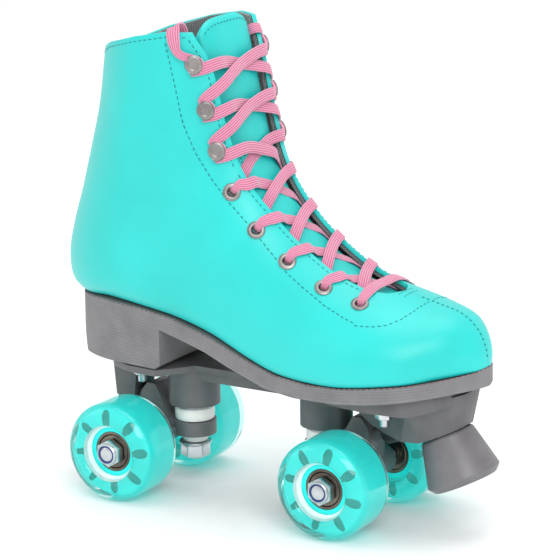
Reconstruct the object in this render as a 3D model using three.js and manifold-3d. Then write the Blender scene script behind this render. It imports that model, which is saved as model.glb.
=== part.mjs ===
// Quad roller skate: a laced boot on a cast base plate, with two sprung trucks and four wheels.
// Millimetres, +X toe, +Y left side, +Z up. The floor is z = 0 and the wheels stand on it.
// x is measured from midway between the axles; the whole skate is then centred on its own box.

import * as THREE from "three";
import { mergeVertices } from "three/addons/utils/BufferGeometryUtils.js";
import Module from "manifold-3d";

const wasm = await Module();
wasm.setup();

// ---------- driving dimensions ----------

const BOX_CENTRE_X = 12.22;
const GAP = 0.3;

const WHEEL_RADIUS = 27;
const WHEEL_WIDTH = 32;
const WHEEL_SIDES = 24;
const WHEELBASE = 131.4;
const TRACK = 69.6;
const AXLE_Z = WHEEL_RADIUS;
const AXLE_RADIUS = 3.85;
const AXLE_HALF_LENGTH = 50.8;

const BEARING_OUTER_RADIUS = 11;
const BEARING_BORE_RADIUS = 4.15;
const BEARING_WIDTH = 7;
const BEARING_FACE = 9.1;
const CORE_HALF = 8;

const KINGPIN_INBOARD = 24.2;
const PIVOT_OUTBOARD = 16.3;
const PIVOT_Z = 49.5;
const RING_Z = 34;
const RING_HEIGHT = 8;
const RING_RADIUS = 11.7;
const KINGPIN_RADIUS = 4;
const KINGPIN_BOTTOM_Z = 15.5;
const BOSS_BOTTOM_Z = 47;

const PLATE_TOP_Z = 71.6;
const FLANGE_BOTTOM_Z = 68.2;
const BEAM_BOTTOM_Z = 62.5;
const BEAM_HALF_WIDTH = 9.5;

const MOUNT_BOLTS = { rear: { x: -63.7, y: 17 }, front: { x: 90.6, y: 25 } };
const MOUNT_BOLT_RADIUS = 2.5;
const MOUNT_NUT_ACROSS = 8.6;
const MOUNT_HEAD_RADIUS = 5.6;

const STOP_TILT_DEG = 25;
const STOP_TOP = { x: 113.5, z: 53 };
const STOP_HEIGHT = 27.5;

const UPPER_THICKNESS = 2.2;
const LAYER_GAP = 0.5;
const LINING_THICKNESS = 2;
const BOARD_THICKNESS = 4.5;
const INSOLE_THICKNESS = 4;

const LACE_WIDTH = 7;
const LACE_THICKNESS = 1.4;

// ---------- materials ----------

function material(color, roughness, metalness) {
  return new THREE.MeshStandardMaterial({ color, roughness, metalness });
}

const MATERIALS = {
  upper: material(0x4fe3de, 0.45, 0),
  lining: material(0x55585a, 0.9, 0),
  insole: material(0x3f4244, 0.9, 0),
  board: material(0x8a7a66, 0.85, 0),
  outsole: material(0x969696, 0.7, 0),
  lace: material(0xe091af, 0.8, 0),
  plate: material(0x626466, 0.5, 0.3),
  hanger: material(0x6a6c6e, 0.45, 0.4),
  stop: material(0x8b8b8b, 0.75, 0),
  steel: material(0xb9bcc0, 0.3, 1),
  bearing: material(0x8d9195, 0.35, 0.9),
  cushion: material(0xe9e9e6, 0.5, 0),
  nylon: material(0x3c3f42, 0.6, 0),
  hub: material(0x1fd3cf, 0.4, 0),
  tyre: material(0x9fe9e6, 0.15, 0),
};

// ---------- solids ----------

function toSolid(geometry) {
  const bare = new THREE.BufferGeometry();
  bare.setAttribute("position", geometry.getAttribute("position"));
  if (geometry.index) {
    bare.setIndex(geometry.index);
  }
  const merged = mergeVertices(bare, 1e-4);
  const vertProperties = new Float32Array(merged.getAttribute("position").array);
  const triVerts = new Uint32Array(merged.index.array);
  return new wasm.Manifold(new wasm.Mesh({ numProp: 3, vertProperties, triVerts }));
}

function toGeometry(manifold) {
  const mesh = manifold.getMesh();
  const geometry = new THREE.BufferGeometry();
  geometry.setAttribute("position", new THREE.BufferAttribute(new Float32Array(mesh.vertProperties), 3));
  geometry.setIndex(new THREE.BufferAttribute(new Uint32Array(mesh.triVerts), 1));
  geometry.computeVertexNormals();
  return geometry;
}

function union(geometries) {
  return geometries.map(toSolid).reduce((sum, next) => sum.add(next));
}

function cutAll(base, geometries) {
  return geometries.reduce((left, tool) => left.subtract(toSolid(tool)), base);
}

// The largest body of a solid, without any sliver that its cuts left loose.
function largestBody(manifold) {
  return manifold.decompose().reduce((best, next) => (next.volume() > best.volume() ? next : best));
}

function part(group, name, shape, look) {
  const geometry = shape instanceof THREE.BufferGeometry ? shape : toGeometry(largestBody(shape));
  const mesh = new THREE.Mesh(geometry, MATERIALS[look]);
  mesh.name = name;
  group.add(mesh);
  return mesh;
}

function shapeOf(points) {
  return new THREE.Shape(points.map(([a, b]) => new THREE.Vector2(a, b)));
}

// A side-view outline in x and z, as thick as yMin to yMax.
function sideSlab(points, yMin, yMax) {
  const slab = new THREE.ExtrudeGeometry(shapeOf(points), { depth: yMax - yMin, bevelEnabled: false });
  return slab.rotateX(Math.PI / 2).translate(0, yMax, 0);
}

// A plan-view outline in x and y, as tall as zMin to zMax.
function planSlab(points, zMin, zMax) {
  const slab = new THREE.ExtrudeGeometry(shapeOf(points), { depth: zMax - zMin, bevelEnabled: false });
  return slab.translate(0, 0, zMin);
}

function uprightCylinder(radius, zMin, zMax, x, y, sides = 20) {
  const cylinder = new THREE.CylinderGeometry(radius, radius, zMax - zMin, sides);
  return cylinder.rotateX(Math.PI / 2).translate(x, y, (zMin + zMax) / 2);
}

function crossCylinder(radius, yMin, yMax, x, z, sides = 20) {
  const cylinder = new THREE.CylinderGeometry(radius, radius, yMax - yMin, sides);
  return cylinder.translate(x, (yMin + yMax) / 2, z);
}

// A ring or disc turned about Z from points [radius, z].
function turned(points, sides) {
  const closed = [...points, points[0]].map(([r, z]) => new THREE.Vector2(r, z));
  const lathe = new THREE.LatheGeometry(closed, sides);
  return lathe.rotateX(Math.PI / 2);
}

// The same turned about Y from points [radius, y], with a flat facet at the bottom.
function turnedAcross(points, sides) {
  const closed = [...points, points[0]].map(([r, y]) => new THREE.Vector2(r, y));
  const lathe = new THREE.LatheGeometry(closed, sides, Math.PI / sides);
  return lathe;
}

function washer(inner, outer, zMin, zMax) {
  return outward(turned([[inner, zMin], [outer, zMin], [outer, zMax], [inner, zMax]], 16));
}

// A lathe may come out wound either way, so a solid with a negative volume is turned inside out.
function outward(geometry) {
  const bare = new THREE.BufferGeometry();
  bare.setAttribute("position", geometry.getAttribute("position"));
  if (geometry.index) {
    bare.setIndex(geometry.index);
  }
  const merged = mergeVertices(bare, 1e-4);
  const index = [...merged.index.array];
  const points = merged.getAttribute("position");
  const [a, b, c] = [new THREE.Vector3(), new THREE.Vector3(), new THREE.Vector3()];
  let volume = 0;
  const kept = [];
  for (let i = 0; i < index.length; i += 3) {
    const [p, q, r] = index.slice(i, i + 3);
    if (p === q || q === r || p === r) {
      continue;
    }
    a.fromBufferAttribute(points, p);
    b.fromBufferAttribute(points, q);
    c.fromBufferAttribute(points, r);
    volume += a.dot(b.cross(c));
    kept.push([p, q, r]);
  }
  const ordered = volume < 0 ? kept.map(([p, q, r]) => [p, r, q]) : kept;
  merged.setIndex(ordered.flat());
  return merged;
}

// A closed skin over rings of equal length, with a fan cap at each end.
function loft(rings) {
  const count = rings[0].length;
  const positions = rings.flat().flatMap((p) => [p.x, p.y, p.z]);
  const index = [];
  for (let i = 0; i + 1 < rings.length; i += 1) {
    for (let j = 0; j < count; j += 1) {
      const a = i * count + j;
      const b = i * count + ((j + 1) % count);
      index.push(a, b, a + count, b, b + count, a + count);
    }
  }
  const last = (rings.length - 1) * count;
  for (const [start, ring, flip] of [[0, rings[0], true], [last, rings.at(-1), false]]) {
    const middle = ring.reduce((sum, p) => sum.add(p), new THREE.Vector3()).divideScalar(count);
    const centre = positions.length / 3;
    positions.push(middle.x, middle.y, middle.z);
    for (let j = 0; j < count; j += 1) {
      const a = start + j;
      const b = start + ((j + 1) % count);
      index.push(...(flip ? [centre, b, a] : [centre, a, b]));
    }
  }
  const geometry = new THREE.BufferGeometry();
  geometry.setAttribute("position", new THREE.BufferAttribute(new Float32Array(positions), 3));
  geometry.setIndex(index);
  return outward(geometry);
}

// A smooth value along a list of [station, value] pairs.
function along(pairs, s) {
  const last = pairs.length - 1;
  let i = 0;
  while (i < last - 1 && s > pairs[i + 1][0]) {
    i += 1;
  }
  const [s0, v0] = pairs[i];
  const [s1, v1] = pairs[i + 1];
  const t = Math.min(1, Math.max(0, (s - s0) / (s1 - s0)));
  return v0 + (v1 - v0) * t;
}

// ---------- boot surface ----------

// Sections through the boot from toe to collar. Each runs from its sole or heel end to its ridge,
// the line of the instep and shin, and bulges to `half` on both sides at the fraction `widest`.
// The two powers set how square the section is towards the sole and towards the ridge.
const SECTIONS = [
  { back: [137.6, 90.4], ridge: [137.3, 95.5], half: 2, widest: 0.5, powers: [2.2, 2.2] },
  { back: [135.4, 89.4], ridge: [135.8, 102.5], half: 8.5, widest: 0.44, powers: [3, 2.2] },
  { back: [130.5, 88.4], ridge: [131.4, 110.8], half: 15.5, widest: 0.4, powers: [4, 2.1] },
  { back: [121.5, 87.0], ridge: [122.5, 117.8], half: 26.5, widest: 0.36, powers: [5, 2.0] },
  { back: [109.5, 85.2], ridge: [108.0, 121.6], half: 38, widest: 0.32, powers: [6, 1.9] },
  { back: [93.0, 83.1], ridge: [92.0, 125.3], half: 44.8, widest: 0.3, powers: [6, 1.85] },
  { back: [74.0, 80.5], ridge: [76.0, 130.0], half: 46, widest: 0.28, powers: [6, 1.8] },
  { back: [54.0, 79.4], ridge: [60.0, 137.0], half: 44, widest: 0.28, powers: [6, 1.85] },
  { back: [33.0, 80.8], ridge: [46.0, 145.8], half: 41.5, widest: 0.28, powers: [6, 2.05] },
  { back: [12.0, 86.4], ridge: [34.0, 155.3], half: 39, widest: 0.3, powers: [5.5, 2.2] },
  { back: [-10.0, 94.4], ridge: [24.0, 165.3], half: 37.5, widest: 0.34, powers: [5, 2.4] },
  { back: [-33.0, 100.5], ridge: [16.5, 174.8], half: 37, widest: 0.38, powers: [5, 2.6] },
  { back: [-57.0, 103.5], ridge: [11.5, 184.2], half: 37, widest: 0.4, powers: [4.5, 2.8] },
  { back: [-80.0, 104.4], ridge: [8.6, 193.6], half: 37, widest: 0.42, powers: [3.4, 2.9] },
  { back: [-101.0, 103.6], ridge: [6.3, 203.0], half: 37.5, widest: 0.44, powers: [2.5, 3] },
  { back: [-114.0, 109.0], ridge: [4.0, 213.0], half: 38, widest: 0.46, powers: [1.9, 3] },
  { back: [-117.6, 122.0], ridge: [1.5, 223.0], half: 38.5, widest: 0.48, powers: [1.65, 3] },
  { back: [-115.0, 138.0], ridge: [-1.0, 232.5], half: 38.7, widest: 0.5, powers: [1.55, 3] },
  { back: [-109.4, 156.0], ridge: [-3.5, 241.0], half: 38.7, widest: 0.5, powers: [1.5, 3] },
  { back: [-102.4, 180.0], ridge: [-6.0, 249.0], half: 38.7, widest: 0.5, powers: [1.5, 3] },
  { back: [-95.6, 205.0], ridge: [-8.5, 256.5], half: 38.7, widest: 0.5, powers: [1.5, 3] },
  { back: [-91.2, 232.0], ridge: [-10.5, 263.5], half: 38.7, widest: 0.5, powers: [1.5, 3] },
  { back: [-86.4, 262.0], ridge: [-12.5, 274.0], half: 38.7, widest: 0.5, powers: [1.5, 3] },
];
const TOP_SECTION = SECTIONS.length - 1;

// Half-width of the lace opening along the ridge, from its rounded lower end to the collar.
const OPENING = [
  [5.2, 3], [5.4, 10], [6, 14.5], [7.1, 16], [8.5, 16.8], [10.3, 18.4], [11.5, 20.8], [13, 23],
  [15.3, 24.7], [18, 25.6], [19, 27], [20, 29.5], [21, 31.5],
];

function spline(a, b, c, d, t) {
  const u = t * t;
  return 0.5 * (2 * b + (c - a) * t + (2 * a - 5 * b + 4 * c - d) * u + (3 * b - a - 3 * c + d) * u * t);
}

function sectionAt(s) {
  const i = Math.min(TOP_SECTION - 1, Math.max(0, Math.floor(s)));
  const t = s - i;
  const near = [i - 1, i, i + 1, i + 2].map((k) => SECTIONS[Math.min(TOP_SECTION, Math.max(0, k))]);
  const blend = (pick) => spline(...near.map(pick), t);
  return {
    back: new THREE.Vector3(blend((k) => k.back[0]), 0, blend((k) => k.back[1])),
    ridge: new THREE.Vector3(blend((k) => k.ridge[0]), 0, blend((k) => k.ridge[1])),
    half: blend((k) => k.half),
    widest: blend((k) => k.widest),
    backPower: blend((k) => k.powers[0]),
    ridgePower: blend((k) => k.powers[1]),
  };
}

// A point round section s: turn 0 is the ridge, 0.25 the left side, 0.5 the sole or heel end.
function roundPoint(s, turn) {
  const k = sectionAt(s);
  const angle = 2 * Math.PI * turn;
  const [c, n] = [Math.cos(angle), Math.sin(angle)];
  const power = 2 / (c >= 0 ? k.ridgePower : k.backPower);
  const reach = Math.abs(c) ** power;
  const fraction = c >= 0 ? k.widest + (1 - k.widest) * reach : k.widest * (1 - reach);
  const point = k.back.clone().lerp(k.ridge, fraction);
  point.y = Math.sign(n) * k.half * Math.abs(n) ** power;
  return point;
}

// The point of section s on the ridge side at width y.
function ridgePoint(s, y) {
  const k = sectionAt(s);
  const spread = Math.min(0.999, Math.abs(y) / k.half) ** k.ridgePower;
  const fraction = k.widest + (1 - k.widest) * (1 - spread) ** (1 / k.ridgePower);
  const point = k.back.clone().lerp(k.ridge, fraction);
  point.y = y;
  return point;
}

// The outward direction of the boot at a ridge-side point.
function ridgeNormal(s, y) {
  const alongRidge = ridgePoint(s + 0.05, y).sub(ridgePoint(s - 0.05, y));
  const across = ridgePoint(s, y + 0.4).sub(ridgePoint(s, y - 0.4));
  return across.cross(alongRidge).normalize();
}

function liftedPoint(s, y, lift) {
  return ridgePoint(s, y).addScaledVector(ridgeNormal(s, y), lift);
}

const BOOT_RINGS = [0, 1, 2, 3, 4, 5, 6, 7, 8, 9, 10.5, 12, 13, 14, 15, 16, 17.5, 19.5, 22];
const BOOT_SIDES = 16;

// The small first ring, moved back and shrunk with the inset so that it never turns inside out.
function toeTip(ring, inset) {
  const centre = ring.reduce((sum, p) => sum.add(p), new THREE.Vector3()).divideScalar(ring.length);
  const back = new THREE.Vector3(-inset, 0, 0);
  return ring.map((p) => p.lerp(centre, inset / 6).add(back));
}

// The boot's outside moved inwards by `inset`, as a closed body.
function bootBody(inset) {
  const rings = BOOT_RINGS.map((s) => {
    const ring = [];
    for (let j = 0; j < BOOT_SIDES; j += 1) {
      const turn = j / BOOT_SIDES;
      const point = roundPoint(s, turn);
      const low = Math.max(0, s - 0.04);
      const high = Math.min(TOP_SECTION, s + 0.04);
      const alongBoot = roundPoint(high, turn).sub(roundPoint(low, turn));
      const around = roundPoint(s, turn + 0.012).sub(roundPoint(s, turn - 0.012));
      const normal = around.cross(alongBoot).normalize();
      ring.push(s === 0 ? point : point.addScaledVector(normal, -inset));
    }
    return s === 0 ? toeTip(ring, inset) : ring;
  });
  return toSolid(loft(rings));
}

// The collar line in side view, and everything above it.
const COLLAR_LINE = [
  [-130, 232], [-92.4, 234.6], [-84, 240.5], [-71, 246.5], [-50, 252.5], [-30, 256.3], [-18, 256], [20, 252],
];

function aboveCollar() {
  return sideSlab([...COLLAR_LINE, [20, 300], [-130, 300]], -60, 60);
}

// The slot between the two facings, cut along the ridge.
function laceOpening(extra) {
  const reach = 16;
  const stations = [5.2, 5.4, 6, 7.1, 8.5, 10.3, 11.5, 13, 15.3, 18, 19, 20, 21, 21.9];
  const rings = stations.map((s) => {
    const half = along(OPENING, s) + extra;
    const out = ridgeNormal(s, 0);
    const base = ridgePoint(s, half);
    return [[half, reach], [-half, reach], [-half, -reach], [half, -reach]].map(([y, lift]) => {
      const corner = base.clone().addScaledVector(out, lift);
      corner.y = y;
      return corner;
    });
  });
  return loft(rings);
}

// Half-width of the sole edge along x.
const SOLE_EDGE = [
  [-107.5, 0], [-106.3, 7], [-102, 14.5], [-95, 20.5], [-84, 25.8], [-68, 29.4], [-41, 32], [-10, 34.5],
  [20, 37.5], [45, 41], [70, 43.4], [90, 43.6], [107, 39], [120, 30.2], [128, 21], [133.4, 13], [136.8, 6],
  [138, 0],
];

function soleOutline(inset) {
  const left = SOLE_EDGE.map(([x, y]) => {
    const middle = 15;
    const reach = 126;
    const shrink = 1 - inset / reach;
    return [middle + (x - middle) * shrink, Math.max(0, y - inset * (y > 0 ? 1 : 0))];
  });
  const inner = left.filter(([, y]) => y > 0);
  const right = inner.map(([x, y]) => [x, -y]).reverse();
  return [left[0], ...inner, left.at(-1), ...right];
}

// Where the upper meets the sole, in side view.
function featherLine(lift) {
  const points = [];
  for (let s = 0; s <= 14; s += 1) {
    const { back } = sectionAt(s);
    points.push([back.x, back.z + lift]);
  }
  return points;
}

const EYELETS = [
  { s: 5.95, y: 24.6 }, { s: 7.2, y: 26 }, { s: 8.65, y: 27 }, { s: 10.15, y: 28 }, { s: 12.0, y: 28.6 },
];
const HOOKS = [{ s: 14.25, y: 29.3 }, { s: 16.35, y: 30.5 }, { s: 18.9, y: 32 }];
const EYELET_HOLE_RADIUS = 3;

function eyeletHoles() {
  const up = new THREE.Vector3(0, 1, 0);
  return EYELETS.flatMap(({ s, y }) => [y, -y].map((side) => {
    const hole = new THREE.CylinderGeometry(EYELET_HOLE_RADIUS, EYELET_HOLE_RADIUS, 16, 8);
    const turn = new THREE.Quaternion().setFromUnitVectors(up, ridgeNormal(s, side));
    const centre = liftedPoint(s, side, -2);
    return hole.applyQuaternion(turn).translate(centre.x, centre.y, centre.z);
  }));
}

// ---------- boot ----------

function bootShell(outerInset, innerInset, slotExtra) {
  const lastingOpening = planSlab(soleOutline(13), 60, 112);
  const shell = bootBody(outerInset).subtract(bootBody(innerInset));
  return cutAll(shell, [
    aboveCollar(), laceOpening(slotExtra), lastingOpening, ...eyeletHoles(), ...mountHoles(),
  ]);
}

function mountPoints() {
  return Object.values(MOUNT_BOLTS).flatMap(({ x, y }) => [[x, y], [x, -y]]);
}

function mountHoles() {
  return mountPoints().map(([x, y]) => uprightCylinder(MOUNT_BOLT_RADIUS + GAP, 55, 118, x, y, 10));
}

function addUppers(group) {
  const shell = bootShell(0, UPPER_THICKNESS, 0);
  const rightHalf = new THREE.BoxGeometry(400, 100, 400).translate(0, -50 - GAP / 2, 150);
  const leftHalf = new THREE.BoxGeometry(400, 100, 400).translate(0, 50 + GAP / 2, 150);
  part(group, "upper_right", shell.intersect(toSolid(rightHalf)), "upper");
  part(group, "upper_left", shell.intersect(toSolid(leftHalf)), "upper");
}

function addLining(group) {
  const outer = UPPER_THICKNESS + LAYER_GAP;
  part(group, "boot_lining", bootShell(outer, outer + LINING_THICKNESS, 0.6), "lining");
}

const TONGUE = { first: 4.9, last: 20.9, thickness: 5, corner: 0.9 };
const TONGUE_HALF_WIDTH = [[4.9, 15], [6, 21], [8.5, 24], [12, 28], [14, 30], [21, 29]];
const TONGUE_DEPTH = { edge: 8.4, middle: 6.2 };

// How far the ridge stands above the two facing edges.
function ridgeRise(s) {
  const half = along(OPENING, Math.min(s, 18));
  return ridgePoint(s, 0).sub(ridgePoint(s, half)).dot(ridgeNormal(s, 0));
}

function tongueDepth(s, y) {
  const half = along(OPENING, Math.min(s, 18));
  const bulge = Math.max(0, 1 - (y / half) ** 2);
  return TONGUE_DEPTH.edge + (TONGUE_DEPTH.middle - TONGUE_DEPTH.edge + 0.6 * ridgeRise(s)) * bulge;
}

function addTongue(group) {
  const steps = 15;
  const across = [-1, -0.8, -0.45, 0, 0.45, 0.8, 1];
  const rings = [];
  for (let i = 0; i <= steps; i += 1) {
    const t = i / steps;
    const point = (k, deep) => {
      const last = TONGUE.last - TONGUE.corner * k ** 4;
      const s = TONGUE.first + (last - TONGUE.first) * t;
      const y = k * along(TONGUE_HALF_WIDTH, s);
      const edge = Math.abs(k) === 1 ? TONGUE.thickness / 2 : 0;
      return liftedPoint(s, y, -tongueDepth(s, y) - (deep ? TONGUE.thickness - edge + 0.4 : edge));
    };
    rings.push([...across.map((k) => point(k, false)), ...across.map((k) => point(k, true)).reverse()]);
  }
  part(group, "tongue", loft(rings), "upper");
}

// A layer of the boot's inside between two heights above the feather line.
function footLayer(low, high, inset) {
  const [bottom, top] = [featherLine(low), featherLine(high)];
  const front = [160, top[0][1]];
  const rear = [-135, top.at(-1)[1] + 1];
  const outline = [
    [160, bottom[0][1]], ...bottom, [-135, bottom.at(-1)[1] + 1], rear, ...top.reverse(), front,
  ];
  return bootBody(inset).intersect(toSolid(sideSlab(outline, -60, 60)));
}

const BOARD_BOTTOM = UPPER_THICKNESS + LINING_THICKNESS + 2 * LAYER_GAP;
const BOARD_TOP = BOARD_BOTTOM + BOARD_THICKNESS;
const HEAD_DEPTH = 3.2;
const HEAD_THICKNESS = 1.8;

function boardTopAt(x) {
  const line = featherLine(BOARD_TOP);
  const i = line.findIndex(([lineX]) => lineX < x);
  const [[x0, z0], [x1, z1]] = [line[i - 1], line[i]];
  return z0 + ((z1 - z0) * (x - x0)) / (x1 - x0);
}

function addFootbeds(group) {
  const board = footLayer(BOARD_BOTTOM, BOARD_TOP, BOARD_BOTTOM);
  const insideWalls = toSolid(planSlab(soleOutline(13.6), 60, 112));
  const filler = footLayer(GAP, BOARD_BOTTOM + 0.5, GAP).intersect(insideWalls);
  const headRooms = mountPoints().map(([x, y]) => (
    uprightCylinder(MOUNT_HEAD_RADIUS + GAP, boardTopAt(x) - HEAD_DEPTH - GAP, 120, x, y, 12)
  ));
  part(group, "insole_board", cutAll(board.add(filler), [...mountHoles(), ...headRooms]), "board");
  const insoleBottom = BOARD_TOP + GAP;
  const insole = footLayer(insoleBottom, insoleBottom + INSOLE_THICKNESS, BOARD_BOTTOM);
  part(group, "insole", insole, "insole");
}

// The sole band, its arch and the heel block, in side view.
const SOLE_UNDERSIDE = [
  [-107.9, 101], [-98.5, 72.2], [-46, 72.2], [-42.4, 75], [-42.4, 94.4], [-26, 90.4], [-13, 87], [3, 81],
  [26, 73.8], [46, 72.2], [72, 73.2], [96, 76.2], [118, 79.4], [130, 81], [139, 81.8],
];

function addOutsole(group) {
  const top = featherLine(-GAP);
  const outline = [...SOLE_UNDERSIDE, [139, top[0][1]], ...top, [-108.5, top.at(-1)[1]]];
  const slab = toSolid(sideSlab(outline, -60, 60));
  const sole = slab.intersect(toSolid(planSlab(soleOutline(0), 60, 112)));
  part(group, "outsole", cutAll(sole, mountHoles()), "outsole");
}

// ---------- lace ----------

const UNDER_FACING = -6.7;
const OVER_FACING = 1.6;

// A knot of the lace's route, `lift` above the boot surface at station s and width y.
function knotAt({ s, y, lift, width, thickness = LACE_THICKNESS }) {
  return { point: liftedPoint(s, y, lift), normal: ridgeNormal(s, y), width, thickness };
}

// One crossing of the tongue. `onTop` strands lie over the others where they cross.
function crossing(from, to, side, onTop, startsUnder) {
  const startHalf = along(OPENING, from.s);
  const endHalf = along(OPENING, Math.min(to.s, 18));
  const middle = onTop ? -1.0 : -3.4;
  const heights = startsUnder
    ? [
      [1.08, UNDER_FACING], [0.92, UNDER_FACING + 0.3], [0.6, onTop ? -2.2 : -5], [0, middle],
      [-0.6, onTop ? -0.5 : -3], [-0.9, 1.4], [-1.1, OVER_FACING],
    ]
    : [
      [1.1, OVER_FACING], [0.92, 1.4], [0.5, onTop ? 0 : -2.2], [0, middle + 0.3], [-0.5, onTop ? 0 : -2.2],
      [-0.92, 1.4], [-1.1, OVER_FACING],
    ];
  return heights.map(([k, height]) => {
    const y = side * k * (k > 0 ? startHalf : endHalf);
    const t = (from.y - side * y) / (from.y + to.y);
    const s = from.s + (to.s - from.s) * t;
    const sag = 0.6 * ridgeRise(s) * Math.max(0, 1 - k * k);
    return knotAt({ s, y, lift: height - sag, width: LACE_WIDTH });
  });
}

function throughEyelet({ s, y }, side) {
  const narrow = { width: 4.2, thickness: 1.6 };
  const steps = [
    { y: side * (y - 4), lift: OVER_FACING, width: 5.6 },
    { y: side * (y - 1), lift: 0.9, ...narrow },
    { y: side * y, lift: -2.3, ...narrow },
    { y: side * (y - 1), lift: -5.9, ...narrow },
    { y: side * (y - 4), lift: UNDER_FACING, width: 5.6 },
  ];
  return steps.map((step) => knotAt({ s, ...step }));
}

// Round the stem of a hook: each step is millimetres away from the opening, along it and off the boot.
const HOOK_TURN = [[-2, -4.4, 1.6], [2.4, -3.8, 2], [4.6, 0, 2.2], [2.4, 3.8, 2], [-2, 4.4, 1.6]];

function roundHook({ s, y }, side, steps) {
  const origin = ridgePoint(s, side * y);
  const normal = ridgeNormal(s, side * y);
  const up = ridgePoint(s + 0.1, side * y).sub(origin).normalize();
  const out = up.clone().cross(normal).normalize().multiplyScalar(-side);
  return HOOK_TURN.slice(0, steps).map(([a, b, lift]) => {
    const across = origin.clone().addScaledVector(out, a).addScaledVector(up, b);
    const point = across.addScaledVector(normal, lift);
    return { point, normal, width: 3.6, thickness: 1.8 };
  });
}

// From the top hook over the collar and down inside the boot: x, y on the left side, z and ribbon width.
const TAIL_ROUTE = [
  [-23.6, 37.2, 246, 4.5], [-25.4, 37.4, 252.5, 6.5], [-26.2, 37, 256.6, 7], [-26.5, 34.6, 259.2, 7],
  [-26.5, 30.4, 259, 7], [-26.4, 28.3, 255.6, 7], [-26.6, 27.6, 249.5, 7], [-27, 27.8, 238, 7],
  [-28, 28.2, 226, 7], [-29, 28.4, 214, 7], [-30, 28.4, 203, 7],
];

// The left end turns in round the facing's edge and runs down behind it: station, width y and lift.
const TUCKED_ROUTE = [
  [19.5, 31.8, 1.7], [19.6, 28.6, 1.4], [19.65, 26, -1.2],
  [19.65, 26, -4.6], [19.6, 28.5, -6.8], [19.3, 31.2, -7],
  [18.6, 33, -7.2], [17.6, 33.4, -7.2], [16.6, 33.4, -7.2], [15.6, 33, -7.2],
];

function laceTail(side) {
  if (side > 0) {
    return TUCKED_ROUTE.map(([s, y, lift]) => knotAt({ s, y, lift, width: 6 }));
  }
  return TAIL_ROUTE.map(([x, y, z, width]) => ({
    point: new THREE.Vector3(x, side * y, z),
    normal: new THREE.Vector3(0.42, side * 0.9, 0.1).normalize(),
    width,
    thickness: LACE_THICKNESS,
  }));
}

// Half of the lace, from its first eyelet on `side` up to its end inside the collar.
function laceClimb(side) {
  const knots = [];
  let at = side;
  EYELETS.forEach((eyelet, i) => {
    knots.push(...throughEyelet(eyelet, at));
    const toHook = i + 1 === EYELETS.length;
    const next = toHook ? { s: HOOKS[0].s - 0.45, y: HOOKS[0].y } : EYELETS[i + 1];
    knots.push(...crossing(eyelet, next, at, toHook ? at > 0 : at < 0, true));
    at = -at;
  });
  HOOKS.forEach((hook, i) => {
    const last = i + 1 === HOOKS.length;
    knots.push(...roundHook(hook, at, last && at < 0 ? 3 : HOOK_TURN.length));
    if (!last) {
      const from = { s: hook.s + 0.45, y: hook.y };
      const to = { s: HOOKS[i + 1].s - 0.45, y: HOOKS[i + 1].y };
      knots.push(...crossing(from, to, at, at < 0, false));
      at = -at;
    }
  });
  knots.push(...laceTail(at));
  return knots;
}

function laceKnots() {
  const { s } = EYELETS[0];
  const half = along(OPENING, s);
  const bar = [[half, OVER_FACING], [0, -0.6 - 0.3 * ridgeRise(s)], [-half, OVER_FACING]];
  const middle = bar.map(([y, lift]) => knotAt({ s, y, lift, width: LACE_WIDTH }));
  return [...laceClimb(1).reverse(), ...middle, ...laceClimb(-1)];
}

// A flat ribbon through the knots. Its flat side follows the boot wherever it lies along it.
function ribbon(knots) {
  const flat = knots[0].normal.clone();
  const rings = knots.map(({ point, normal, width, thickness }, i) => {
    const before = knots[Math.max(0, i - 1)].point;
    const after = knots[Math.min(knots.length - 1, i + 1)].point;
    const ahead = after.clone().sub(before).normalize();
    flat.addScaledVector(ahead, -flat.dot(ahead)).normalize();
    const target = normal.clone().addScaledVector(ahead, -normal.dot(ahead));
    if (target.length() > 0.6) {
      flat.copy(target.normalize().multiplyScalar(target.dot(flat) < 0 ? -1 : 1));
    }
    const side = ahead.clone().cross(flat).normalize();
    return [[1, 1], [-1, 1], [-1, -1], [1, -1]].map(([a, b]) => point.clone()
      .addScaledVector(side, (a * width) / 2)
      .addScaledVector(flat, (b * thickness) / 2));
  });
  return loft(rings);
}

function addLace(group) {
  part(group, "lace", ribbon(laceKnots()), "lace");
}

// ---------- plate ----------

const HALF_BASE = WHEELBASE / 2;
const KINGPIN_X = HALF_BASE - KINGPIN_INBOARD;
const PIVOT_X = HALF_BASE + PIVOT_OUTBOARD;
const LEAN_SLOPE = Math.atan2(PIVOT_Z - RING_Z, PIVOT_X - KINGPIN_X);

// A cylinder along a truck's lean axis, from `start` to `end` measured from the pivot outwards.
function pivotCylinder(radius, start, end, sides = 16) {
  const cylinder = new THREE.CylinderGeometry(radius, radius, end - start, sides);
  cylinder.translate(0, (start + end) / 2, 0).rotateZ(-Math.PI / 2).rotateY(-LEAN_SLOPE);
  return cylinder.translate(PIVOT_X, 0, PIVOT_Z);
}

function mirrored(geometry) {
  return geometry.clone().rotateZ(Math.PI);
}

function stopFrame(geometry) {
  return geometry.rotateY(THREE.MathUtils.degToRad(-STOP_TILT_DEG)).translate(STOP_TOP.x, 0, STOP_TOP.z);
}

const FLANGE_PLAN = [
  [-89, 6], [-85, 14], [-77, 24], [-64, 30], [-46, 31], [-40, 24],
  [-32, 13], [40, 13], [50, 22], [60, 31], [84, 34],
  [104, 33], [116, 26], [124, 16],
];

const FLANGE_SIDE = [
  [-95, FLANGE_BOTTOM_Z], [108, FLANGE_BOTTOM_Z], [130, 74], [130, 80.6],
  [118, 78.9], [96, 75.7], [72, 72.7],
  [46, 71.8], [-95, PLATE_TOP_Z],
];

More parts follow.
